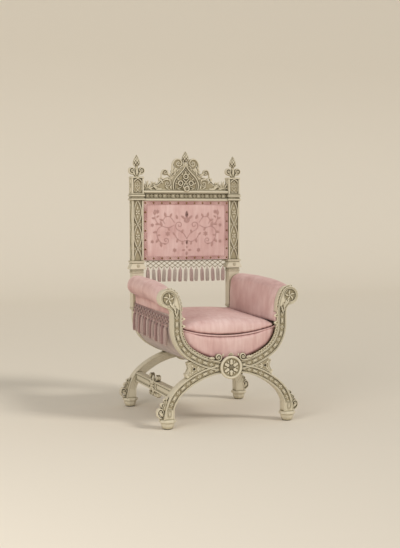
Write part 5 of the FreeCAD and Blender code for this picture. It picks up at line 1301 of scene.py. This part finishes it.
for middle, reach, turn in cusp_turns:
    x, z = polar(middle, reach, math.radians(turn))
    cresting.add_twins(cusp, on("front", x, cresting_y, z, math.radians(turn - 90)))
# the cusps take the lighter copy of the paint: painted light
cresting.finish("cusped_cresting", lighter_cresting_paint, "carved_wood", ["arm_cresting"])


# Mouldings, eye and leaves on the brackets between arm curve and leg
bracket_line = ([p for p in arm_arch.line(24.6, count=50) if 134 < p[0] < 184]
                + [(195, 281), (189, 259), (199, 236)]
                + [p for p in leg_arch.line(23.6, count=50) if 134 < p[0] < 190][::-1])
edging = Piece()
for wall, y, way in two_faces(-frame_middle, 20):
    edging.add_twins(rod(bracket_line, 1.7, 2.2, closed=True), on(wall, 0, y, 0))
    edging.add_twins(ring_rod(7.8, 1.7, 2.4), on(wall, bracket_eye[0], y, bracket_eye[1]))
    for turn in (-35, 0, 35):
        edging.add_twins(leaf(19 if turn else 24, 8, 3, 1),
                         on(wall, 160, y, 259) @ fanned(math.radians(90 + turn), 3))
    for z, turn in ((267, -35), (251, -145)):
        edging.add_twins(leaf(16, 9, 3.5, 1), on(wall, 174, y, z, way * math.radians(turn)))
    for z in (276, 243):
        edging.add_twins(button(3.4, 3.6, 10), on(wall, 190.5, y, z))
edging.finish("bracket_carving", oak, "carved_wood")


# Carved leaf with a scroll on the outside of each leg, above the foot
crockets = Piece()
stem = through([(300, 46), (312, 47), (326, 54), (334, 66), (333, 82), (324, 92)], 5)
rise_line = through([(311, 88), (307, 102), (300, 118), (287, 140)], 5)
crocket_bands = [  # line, half width, how much of it at the two ends, half depth
    (stem + spiral((320, 76), 14.5, 5, 1.2, math.radians(75)), 4.6, 0.8, 0.7, 14),
    ([(303, 90), (310, 94)] + spiral((309, 107), 10, 4, 1.1, -math.radians(60)), 3.6, 0.6, 0.7, 12),
    (rise_line, 4.6, 0.9, 0.35, 11),
    ([(296, 118), (300, 122)] + spiral((299, 128), 6.5, 3, 0.9, -math.radians(60)), 3.0, 0.6, 0.7, 9),
]
crocket_leaves = [  # x, z, turn, length, width
    (308, 60, -52, 26, 16), (304, 84, 10, 26, 14), (298, 104, 12, 24, 12),
]
for y in (-frame_middle, frame_middle):
    for line, wide, first, last, high in crocket_bands:
        crockets.add_twins(rod(line, taper(len(line), wide, first, last), high), on("front", 0, y, 0))
    sunk_eyes.add_twins(turned([(11, -8), (12, -4), (12, 4), (11, 8)], 16), on("front", 319, y, 76))
    sunk_eyes.add_twins(turned([(7, -7), (7, 7)], 14), on("front", 308, y, 106))
    for wall, lift, way in two_faces(0, 11):
        crockets.add_twins(button(4.8, 6), on(wall, 320, y + lift * 0.8, 76))
        crockets.add_twins(button(3.4, 5), on(wall, 309, y + lift * 0.8, 107))
        for x, z, turn, length, width in crocket_leaves:
            crockets.add_twins(leaf(length, width, 5, 3, curl=0.3),
                               on(wall, x, y + lift, z, way * math.radians(turn)))
crockets.finish("leg_leaf_crockets", oak, "carved_wood", ["leg_crockets"])


# Carved knot on the stretcher: scrolls above and below the rail and a cross-shaped flower over it

def curled(spot, radius, tail, turn, way):
    """A band of the knot that comes along its tail and winds up in a scroll round an eye."""
    high, thick = 6.4, 3.4
    line = tail + spiral((0, 0), radius - thick, radius * 0.28, 1.3, turn, way=way)[(1 if tail else 0):]
    knot.add(rod(line, taper(len(line), thick, 0.5, 0.7), high), spot)
    sunk_eyes.add(turned([(radius * 0.8, -high * 0.5), (radius * 0.8, high * 0.5)], 20), spot)
    knot.add(button(radius * 0.24, high * 1.1, 12), spot)


knot = Piece()
rail_lines = Piece()
stretcher_x, stretcher_z = -250, 146
for wall, out in (("left", -1), ("right", 1)):
    for way in (-1, 1):
        for reach, z, up, radius in ((43, 186, 1, 16), (50, 106, -1, 14), (17, 104, -1, 12)):
            tail = [(-way * 30, -up * (radius - 2)), (-way * 15, -up * (radius - 3.4))] if reach > 20 else []
            spot = on(wall, stretcher_x + out * 5, out * way * reach, z)
            curled(spot, radius, tail, -up * quarter, way * up)
    for z, turn, length in ((166, 0, 28), (128, 180, 26)):
        knot.add(leaf(length, 20, 7, 3), on(wall, stretcher_x + out * 8, 0, z, math.radians(turn)))
    outside = on(wall, stretcher_x + out * 12, 0, stretcher_z)
    for k in range(4):
        knot.add(leaf(34, 20, 8, 3, curl=0.2), outside @ fanned(quarter * k + quarter / 2, 5))
        knot.add(leaf(20, 12, 7, 0), outside @ fanned(quarter * k, 5))
    knot.add(button(8, 11), outside)
    for way in (-1, 1):
        spray = on(wall, stretcher_x + out * 12, way * 36.3, stretcher_z)
        for lean in (-28, 0, 28):
            knot.add(leaf(24, 10, 5, 2), spray @ fanned(math.radians(lean) - way * out * quarter, 0))
        for z, half in ((163, 2.4), (157.5, 1.3), (134.5, 1.3), (129, 2.4)):
            rail_lines.add(rod([(way * 40, z), (way * 258, z)], half, 2.2),
                           on(wall, stretcher_x + out * 12, 0, 0))
        for k in range(17):
            rail_lines.add(button(2.4, 3, 8), on(wall, stretcher_x + out * 14.5, way * (48 + 12.6 * k), 168))
knot.finish("stretcher_knot", oak, "carved_wood", ["stretcher_carving"])
sunk_eyes.finish("painted_shade_scroll_eyes", deepest_shade_paint, "carved_wood")
rail_lines.finish("stretcher_mouldings", oak, "carved_wood")


# Posts: woven bands with flowers in the sunk panels, bands on the other faces, mouldings on the bases
period = 117                 # the bands cross twice in this length
flank_low, flank_high = 716, 992


def woven(way, reach, low, high, top, lift, rise):
    """One of two bands that weave over and under each other; they start from one point at the top."""
    line = []
    for k in range(74):
        z = low + (high - low) * k / 73
        phase = half_turn * (top - z) / period
        line.append((way * reach * math.sin(phase), z, lift + rise * way * math.cos(phase)))
    return line


tracery = Piece()
for side in (-1, 1):
    post_x = side * arm_span
    for way in (-1, 1):
        line = woven(way, 19, shaft_low + 1, shaft_high - 1, shaft_high, 0.0, 1.0)
        strands = on("front", post_x, panel_floor - 2.6, 0)
        tracery.add(rod(line, 3.0, 2.6), strands)
        tracery.add(rod([(x, z, lift + 2.0) for x, z, lift in line], 0.9, 1.4, sides=6), strands)
    for k in range(3):
        z = shaft_high - period * (k + 0.5)
        if z > shaft_low + 10:
            tracery.add(petals(4, 2.5, 11, 9, 3.4, curl=0.3, start=quarter / 2),
                        on("front", post_x, panel_floor - 0.5, z))
            tracery.add(button(3.2, 4.6), on("front", post_x, panel_floor - 0.5, z))
            for rise, turn in ((-13, half_turn), (13, 0)):
                tracery.add(leaf(17, 8, 2.6, 1), on("front", post_x, panel_floor - 0.4, z + rise, turn))
    for k in range(4):
        z = shaft_high - period * k
        if shaft_low + 10 < z < shaft_high - 10:
            for way in (-1, 1):
                tracery.add(petals(3, 0.5, 9, 6, 2.6, start=way * quarter - 2 * half_turn / 3),
                            on("front", post_x + way * 14.5, panel_floor - 0.4, z))
    for x in (-21.4, 21.4):
        tracery.add(rod([(x, shaft_low + 1), (x, shaft_high - 1)], 1.1, 1.6, sides=6),
                    on("front", post_x, post_front + 1.4, 0))
tracery.finish("post_panel_tracery", oak, "carved_wood", ["post_tracery"])

flanks = Piece()
# thin sheets in the darker copy of the paint in the sunk panels of the posts and on the spire blocks: painted
# shade
flank_grounds = Piece()
flank_frame = [(-15, flank_low - 1), (-15, flank_high + 1), (15, flank_high + 1), (15, flank_low - 1)]
for wall, side in (("left", -1), ("right", 1)):
    flank = on(wall, side * (arm_span + post_half), frame_middle, 0)
    tail = on("rear", side * arm_span, outer_face, 0)
    for face, ground, widening, reach, wide in ((flank, 14, 1, 12, 1.9), (tail, 20, 1.4, 17, 2.4)):
        edges = [[(x, flank_low), (x, flank_high)] for x in (-ground, ground)]
        flank_grounds.add(band(*edges, 0.5), face @ Matrix.Translation((0, 0, -0.1)))
        flanks.add(rod([(x * widening, z) for x, z in flank_frame], 1.8, 2.4, closed=True), face)
        for way in (-1, 1):
            line = woven(way, reach, flank_low + 1, flank_high - 1, flank_high, 1.2, 0.8)
            flanks.add(rod(line, wide, 1.8, sides=6), face)
    edges = [[(side * arm_span + x, z) for z in (1034, 1107)] for x in (-24, 24)]
    flank_grounds.add(band(*edges, 0.4), on("front", 0, post_front + 5.2, 0))
flanks.finish("post_flank_tracery", oak, "carved_wood")
flank_grounds.finish("post_painted_shade_grounds", shaded_ground_paint, "carved_wood")


def square_ring(half_x, half_y, z, wide, high):
    """A moulding run round a square post at a height."""
    corners = [(-half_x, -half_y, z), (half_x, -half_y, z), (half_x, half_y, z), (-half_x, half_y, z)]
    section = [(0, -high), (wide * 0.7, -high * 0.7), (wide, 0), (wide * 0.7, high * 0.7), (0, high),
               (-1.5, high), (-1.5, -high)]
    return loft([[Vector((x + math.copysign(out, x), y + math.copysign(out, y), z + up))
                  for x, y, z in corners] for out, up in section], closed=True)


bands = Piece()
post_bands = [  # half width, half depth, height, how far it stands out, half height
    (27, 24, 661, 2.2, 2.0), (27, 24, 652, 2.8, 2.6), (27, 24, 478, 2.5, 3.0), (28, 24, 701.5, 3.6, 3.4),
    (33, 29, 706, 1.2, 1.6), (28, 24, 1012, 3.0, 2.4), (33, 29, 1004.5, 1.4, 2.6), (33, 29, 1022.5, 1.4, 2.6),
    (30, 24, 1031, 2.2, 2.2), (30, 24, 1109, 1.8, 2.4),
]
for side in (-1, 1):
    place = Matrix.Translation((side * arm_span, frame_middle, 0))
    for size in post_bands:
        bands.add(square_ring(*size), place)
    for wall, y in (("front", -27.2), ("rear", 27.2)):
        bands.add(raised_stud(5.5, 5.5, 3.4), place @ on(wall, 0, y, 683))
bands.finish("post_mouldings", oak, "carved_wood")


# Spire blocks over the posts: an eight-sided frame on each face, round a knot or a flower
block = Piece()
spire_frame = [(-20, 1050), (-20, 1091), (-11, 1103), (11, 1103), (20, 1091), (20, 1050), (11, 1038),
               (-11, 1038)]
spire_flower = 1071
for side in (-1, 1):
    post_x = side * arm_span
    face = on("front", post_x, panel_floor - 1, 0)
    block.add(rod(spire_frame, 2.0, 3.0, closed=True), face)
    for way in (-1, 1):
        line = through([(-way * 9, 1040, 0.5), (-way * 3, 1046, -way), (way * 9, 1058, 0),
                        (way * 11, spire_flower, way), (way * 9, 1084, 0), (-way * 3, 1096, -way),
                        (-way * 9, 1101, 0.5)], 5)
        block.add(rod(line, 2.2, 2.6), face)
        line = through([(-way * 20, 1089, 0), (-way * 12, 1098, way * 0.7), (way * 2, 1107, 0.4),
                        (way * 9, 1113, 0)], 5)
        block.add(rod(line, 2.6, 2.6), on("front", post_x, post_front - 0.5, 0))
    block.add(petals(4, 1.5, 9, 7, 3.4, curl=0.3), on("front", post_x, panel_floor - 0.5, spire_flower))
    block.add(button(2.6, 4.6), on("front", post_x, panel_floor - 0.5, spire_flower))
    for x, z, turn in ((0, 1053, 180), (0, 1089, 0), (-15, spire_flower, 90), (15, spire_flower, -90)):
        block.add(leaf(9, 6, 3, 1), on("front", post_x + x, panel_floor - 0.5, z, math.radians(turn)))
    others = [(on(wall, post_x + out * 30, frame_middle, 0), 0.85, 1.8, (2, 11, 8), 3)
              for wall, out in (("left", -1), ("right", 1))]
    others.append((on("rear", post_x, outer_face, 0), 1, 2.0, (2, 13, 9), 3.2))
    for face, narrowing, wide, petal, eye in others:
        block.add(rod([(x * narrowing, z) for x, z in spire_frame], wide, wide, closed=True), face)
        block.add(petals(4, *petal, 3, curl=0.3), face @ Matrix.Translation((0, spire_flower, 0)))
        block.add(button(eye, 4.2), face @ Matrix.Translation((0, spire_flower, 0)))
block.finish("spire_block_tracery", oak, "carved_wood")


# Finials: two scrolls back to back and a bud of overlapping leaves

def leaf_bud(piece, heart, x, y, low, high, radius):
    """A pointed bud: leaves stand off its heart like the scales of a cone, on a small moulded neck; the heart
    is its own piece, in painted deep shade.
    """
    tall = high - low
    shares = [(0.40, -0.06), (0.50, 0.0), (0.36, 0.05), (0.44, 0.12), (0.62, 0.26), (0.62, 0.40),
              (0.44, 0.60), (0.24, 0.80), (0.10, 0.93), (0.03, 1.0)]
    place = Matrix.Translation((x, y, low))
    piece.add(turned([(radius * wide, tall * up) for wide, up in shares[:4]], 18), place)
    heart.add(turned([(radius * wide, tall * up) for wide, up in shares[2:]], 18), place)
    tiers = [  # how far up, how wide, leaf length, lean outwards, leaves
        (0.08, 0.50, 0.24, 34, 6), (0.22, 0.68, 0.24, 12, 6), (0.37, 0.68, 0.24, -6, 6),
        (0.51, 0.58, 0.22, -14, 6), (0.64, 0.44, 0.20, -18, 5), (0.77, 0.26, 0.20, -18, 4),
    ]
    for tier, (up, wide, tall_share, lean, count) in enumerate(tiers):
        spot = on("front", 0, -radius * wide, tall * up) @ Matrix.Rotation(math.radians(lean), 4, "X")
        scale = leaf(tall * tall_share, radius * wide * 0.88, radius * 0.26, 0, curl=0.35)
        for k in range(count):
            spin = Matrix.Rotation(2 * half_turn * (k + 0.5 * (tier % 2)) / count, 4, "Z")
            piece.add(scale, place @ spin @ spot)


finials = Piece()
hearts = Piece()
finial_scroll = (23.5, 1145)
finial_stem = through([(4, 1112), (8, 1120), (15, 1126), (23.5, 1127.5)], 5)
for side in (-1, 1):
    post_x = side * arm_span
    core = on("front", post_x, frame_middle, 0)
    for way in (-1, 1):
        eye_x = way * finial_scroll[0]
        line = [(way * p[0], p[1]) for p in finial_stem]
        line += spiral((eye_x, finial_scroll[1]), 17.5, 5, 1.4, -quarter, way=way)[1:]
        finials.add(rod(line, taper(len(line), 4.0, 1.0, 0.7), taper(len(line), 12.5, 0.9, 0.8)), core)
        finials.add(turned([(14.5, -6), (15, 0), (14.5, 6)], 20),
                    on("front", post_x + eye_x, frame_middle, finial_scroll[1]))
        for wall, y, hand in two_faces(0, 9):
            finials.add(button(4.6, 5.5), on(wall, post_x + eye_x, frame_middle + y, finial_scroll[1]))
            lean = -way * hand * math.radians(35)
            finials.add(leaf(20, 11, 4, 3, curl=0.4),
                        on(wall, post_x + way * 9, frame_middle + y * 0.9, 1122, lean))
    stalk = [(9, 1110), (10, 1116), (6.5, 1124), (7.5, 1136), (10, 1150), (7, 1158), (8.5, 1163)]
    finials.add(turned(stalk, 16, flutes=8, depth=0.12), Matrix.Translation((post_x, frame_middle, 0)))
    for wall, y in (("front", -7), ("rear", 7)):
        finials.add(leaf(36, 15, 5, 4, curl=0.25), on(wall, post_x, frame_middle + y, 1120))
    leaf_bud(finials, hearts, post_x, frame_middle, 1162, 1219, 18)
finials.finish("post_finials", oak, "carved_wood", ["left_finial", "right_finial"])


# Top rail: rounded mouldings on its lips, blocks and flowers by turns in its sunk band
rail = Piece()
rail_face = on("front", 0, 266, 0)
for lip, quirk in ((1041.5, 1034.9), (1002.5, 1009.1)):
    rail.add(rod([(-222, lip), (222, lip)], 4.6, 2.6, sides=12), rail_face)
    rail.add(rod([(-222, quirk), (222, quirk)], 1.2, 2.0), rail_face)
for k in range(19):
    shape = four_lobed(10, 5) if k % 2 else raised_stud(9.5, 10, 6)
    rail.add(shape, on("front", (k - 9) * 22, rail_floor, 1022))
rail.finish("top_rail_carving", oak, "carved_wood", ["rail_beads"])


# Crest over the top rail: ogee arch with a knot under it, scrolls on both sides, palmettes and a leaf bud
crest = Piece()
crest_middle = 286
core = on("front", 0, crest_middle, 0)
gable = [(0, 1046.8), (217, 1046.8), (212, 1056), (178, 1062), (150, 1070), (124, 1094), (100, 1112),
         (80, 1116), (68, 1130), (62, 1154), (40, 1172), (12, 1180)]
outline = gable + [(-x, z) for x, z in gable[:0:-1]]
crest.add(plate(outline, 9), core)
crest.add(rod([(-218, 1049.5), (218, 1049.5)], 3.6, 11.5, sides=12), core)

crest_scrolls = [  # way in, middle of the scroll, radius, turns, where it starts, half width, half depth
    ([(80, 1118), (72, 1130), (68.5, 1146), (67.5, 1160), (67.2, 1176)],
     (37, 1180), 27.5, 1.5, 0, 4.6, 9.5),
    ([(152, 1076), (138, 1088), (128, 1106), (124, 1120), (122.6, 1132)],
     (104.5, 1136), 16.5, 1.45, 0, 3.8, 9),
    ([(206, 1056), (176, 1062), (146, 1072), (124, 1090), (100, 1103)],
     (95, 1082), 20.5, 1.5, quarter, 3.8, 9),
]
for stations, (x, z), radius, turns, start, wide, high in crest_scrolls:
    line = through(stations) + spiral((x, z), radius, radius * 0.2, turns, start)[1:]
    crest.add_twins(rod(line, taper(len(line), wide, 0.5, 0.5, 0.25), high), core)
    crest.add_twins(turned([(radius * 0.9, -4.5), (radius * 0.9, 4.5)], 24), on("front", x, crest_middle, z))
    for wall, y in (("front", crest_middle - 4), ("rear", crest_middle + 4)):
        crest.add_twins(petals(4, radius * 0.12, radius * 0.34, radius * 0.3, 3, curl=0.4), on(wall, x, y, z))
        crest.add_twins(button(radius * 0.17, 6), on(wall, x, y, z))
slope = through([(55, 1136), (74, 1118), (96, 1107), (122, 1092), (150, 1072), (186, 1062), (214, 1057)])
crest.add_twins(rod(slope, taper(len(slope), 3.2, 0.5, 0.6), 10), core)
arch_line = through([(61, 1047), (65, 1066), (62, 1090), (48, 1114), (26, 1136), (9, 1156), (0, 1174)])
crest.add_twins(rod(arch_line, 4.4, 12.5), core)
outer_line = through([(71, 1050), (75, 1068), (72, 1092), (57, 1119), (35, 1142), (16, 1162)])
crest.add_twins(rod(outer_line, taper(len(outer_line), 1.9, 0.8, 0.5), 8), core)
crest_leaves = [  # x, z, turn, length, width
    (136, 1052, -62, 40, 16), (122, 1056, -96, 34, 14), (170, 1052, -72, 26, 11), (74, 1054, -20, 20, 12),
    (76, 1118, -52, 26, 14), (84, 1104, -100, 22, 11), (78, 1092, -30, 18, 10), (130, 1092, -24, 20, 12),
    (64, 1132, -40, 18, 10), (150, 1070, -70, 22, 10), (110, 1102, -66, 20, 10), (116, 1082, -38, 20, 11),
    (80, 1060, 24, 18, 10), (90, 1056, -50, 22, 11), (60, 1122, 24, 22, 11), (48, 1138, 34, 20, 10),
    (30, 1156, 44, 18, 9), (66, 1150, 20, 18, 9),
]
crest_half = 4.5
for wall, y, way in two_faces(0, crest_half):
    for x, z, turn, length, width in crest_leaves:
        crest.add_twins(leaf(length, width, 5, 3, curl=0.4),
                        on(wall, x, crest_middle + y, z, way * math.radians(turn)))
    spray = on(wall, 197, crest_middle + y * 0.6, 1052)
    for turn, length in ((-66, 30), (-34, 38), (0, 46), (34, 38), (66, 30)):
        crest.add_twins(leaf(length, 12, 5, 3, curl=0.7), spray @ fanned(math.radians(turn), 3))
    spray = on(wall, 160, crest_middle + y * 0.6, 1072)
    for turn, length in ((-50, 19), (0, 27), (50, 19)):
        crest.add_twins(leaf(length, 9, 4, 1, curl=0.7), spray @ fanned(math.radians(turn - way * 38), 2))
crest.finish("carved_crest", oak, "carved_wood", ["crest"])

# thin sheets in the darker copy of the paint behind the crest's scrolls, arch and slopes: painted shade
crest_grounds = Piece()
inside = through([(56, 1052), (60, 1066), (57, 1088), (44, 1110), (23, 1132), (7, 1152), (1, 1163)], 5)
low_edge = [(72, 1056), (110, 1056), (150, 1055), (190, 1053.5)]
high_edge = [(72, 1104), (104, 1100), (140, 1068), (190, 1057)]
for wall, y in (("front", crest_middle - 4.4), ("rear", crest_middle + 4.4)):
    for x, z, radius in ((37, 1180, 23), (104.5, 1136, 13.5), (95, 1082, 17)):
        crest_grounds.add_twins(turned([(radius, -0.6), (radius, 0.5)], 28), on(wall, x, y, z))
    crest_grounds.add(band([(-p[0], p[1]) for p in inside], inside, 0.6), on(wall, 0, y, 0))
    crest_grounds.add_twins(band(low_edge, high_edge, 0.4), on(wall, 0, y, 0))
crest_grounds.finish("crest_painted_shade_grounds", shaded_ground_paint, "carved_wood")

arch_piece = Piece()
ground = crest_middle - crest_half
inner_line = through([(51, 1049), (55, 1066), (52, 1086), (40, 1107), (21, 1128), (6, 1146), (0, 1155)])
arch_piece.add_twins(rod(inner_line, 1.7, 3.0), on("front", 0, ground - 2, 0))
for x, z, ring_y, eye_y in ((0, 1117, ground - 4, ground), (-27, 1084, ground - 4, ground),
                            (27, 1084, ground - 4, ground), (0, 1056, 263, 266)):
    arch_piece.add(ring_rod(11, 3.6, 4.5), on("front", x, ring_y, z))
    arch_piece.add(button(4, 6), on("front", x, eye_y, z))
for way in (-1, 1):
    line = through([(-way * 16, 1106, 3), (-way * 6, 1094, 4 + way), (way * 7, 1078, 4 - way),
                    (way * 14, 1066, 8), (way * 12, 1059, 17)], 5)
    arch_piece.add(rod(line, 3.0, 3.4), on("front", 0, ground, 0))
    line = through([(way * 18, 1070, 3), (way * 32, 1061, 3), (way * 44, 1056, 3)], 5)
    arch_piece.add(rod(line, 2.4, 3), on("front", 0, ground, 0))
    for x, z, turn in ((34, 1098, -35), (40, 1078, -60), (14, 1122, -25), (30, 1054, -80)):
        arch_piece.add(leaf(18, 10, 4, 2, curl=0.4),
                       on("front", way * x, ground, z, way * math.radians(turn)))
arch_piece.add(petals(4, 2, 9, 8, 4, curl=0.4), on("front", 0, ground - 4, 1083))
arch_piece.add(button(3.4, 6), on("front", 0, ground - 5, 1083))
arch_piece.add(leaf(26, 12, 4, 3, curl=0.3), on("front", 0, ground, 1120))
arch_piece.add(petals(6, 3, 22, 16, 5, curl=0.3), on("rear", 0, crest_middle + crest_half, 1086))
arch_piece.add(button(6, 7), on("rear", 0, crest_middle + crest_half, 1086))
arch_piece.finish("knot_under_arch", oak, "carved_wood", ["crest_arch"])

tip = Piece()
leaf_bud(tip, hearts, 0, crest_middle, 1186, 1239.5, 18.5)
tip.add(turned([(9, 1170), (10, 1176), (7, 1182)], 16), Matrix.Translation((0, crest_middle, 0)))
tip.finish("crest_leaf_bud", oak, "carved_wood", ["crest_finial"])
hearts.finish("bud_hearts", deepest_shade_paint, "carved_wood")


# What stays of the solids: the frames, posts and rails, with eased edges
hidden = ["frame_dowels", "keel_rail", "left_seat_rail", "right_seat_rail", "left_arm_rail", "right_arm_rail",
          "apron_boards", "back_board", "lower_back_rail"]
for name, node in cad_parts.items():
    if node.hide_render:
        continue
    node.data.materials.clear()
    node.data.materials.append(bare_oak if name in hidden else oak)
    joint = node.modifiers.new("joined_facets", "WELD")
    joint.merge_threshold = 0.01 * mm
    easing = node.modifiers.new("eased_edges", "BEVEL")
    easing.width = 1.1 * mm
    easing.segments = 2
    easing.limit_method = "ANGLE"
    easing.angle_limit = math.radians(35)


# Floor and backdrop in one sweep, lamps and camera; these places are in metres

def add_to_scene(name, data):
    """The object that shows a mesh, a lamp or a camera."""
    thing = bpy.data.objects.new(name, data)
    bpy.context.scene.collection.objects.link(thing)
    return thing


def backdrop():
    """A pale floor that turns up into a wall far behind the chair."""
    bend = arc((6.0, 3.0), 3.0, -quarter, 0, 10)
    rows = [(-14.0, 0.0)] + bend + [(9.0, 14.0)]
    points = [(x, y, z) for y, z in rows for x in (-16.0, 16.0)]
    faces = [(2 * k, 2 * k + 1, 2 * k + 3, 2 * k + 2) for k in range(len(rows) - 1)]
    mesh = bpy.data.meshes.new("studio_sweep")
    mesh.from_pydata(points, [], faces)
    mesh.shade_smooth()
    paper, add = new_material("matt_background_paper")
    shader = add("BsdfPrincipled", {"Base Color": paint("#DFD6C6"), "Roughness": 0.95})
    add("OutputMaterial", links={"Surface": shader.outputs[0]})
    mesh.materials.append(paper)
    sweep = add_to_scene("studio_sweep", mesh)
    sweep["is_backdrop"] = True


def lamp(name, kind, place, size, power, colour):
    """A lamp that points at the middle of the chair; a sun's size is its angle."""
    light = bpy.data.lights.new(name, kind)
    if kind == "SUN":
        light.angle = size
    else:
        light.size = size
    light.energy = power
    light.color = paint(colour)[:3]
    holder = add_to_scene(name, light)
    holder.location = place
    holder.rotation_euler = (Vector((0, 0, 0.6)) - Vector(place)).to_track_quat("-Z", "Y").to_euler()


backdrop()
world = bpy.data.worlds.new("studio")
bpy.context.scene.world = world
world.use_nodes = True
world.node_tree.nodes["Background"].inputs["Color"].default_value = paint("#FFFFFF")
world.node_tree.nodes["Background"].inputs["Strength"].default_value = 0.5
lamp("window", "SUN", (2.6, -3.0, 3.6), math.radians(14), 1.35, "#FFFCF7")
lamp("fill", "AREA", (-3.6, -3.0, 1.8), 2.5, 95, "#FFFDFB")

eye = add_to_scene("eye", bpy.data.cameras.new("eye"))
eye.location = (-1.71, -4.52, 0.95)
eye.rotation_euler = (math.radians(86.5), 0, -math.radians(20.4))
eye.data.lens = 68.04
eye.data.sensor_width = 36
bpy.context.scene.camera = eye
bpy.context.scene.view_settings.view_transform = "Standard"

low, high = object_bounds()
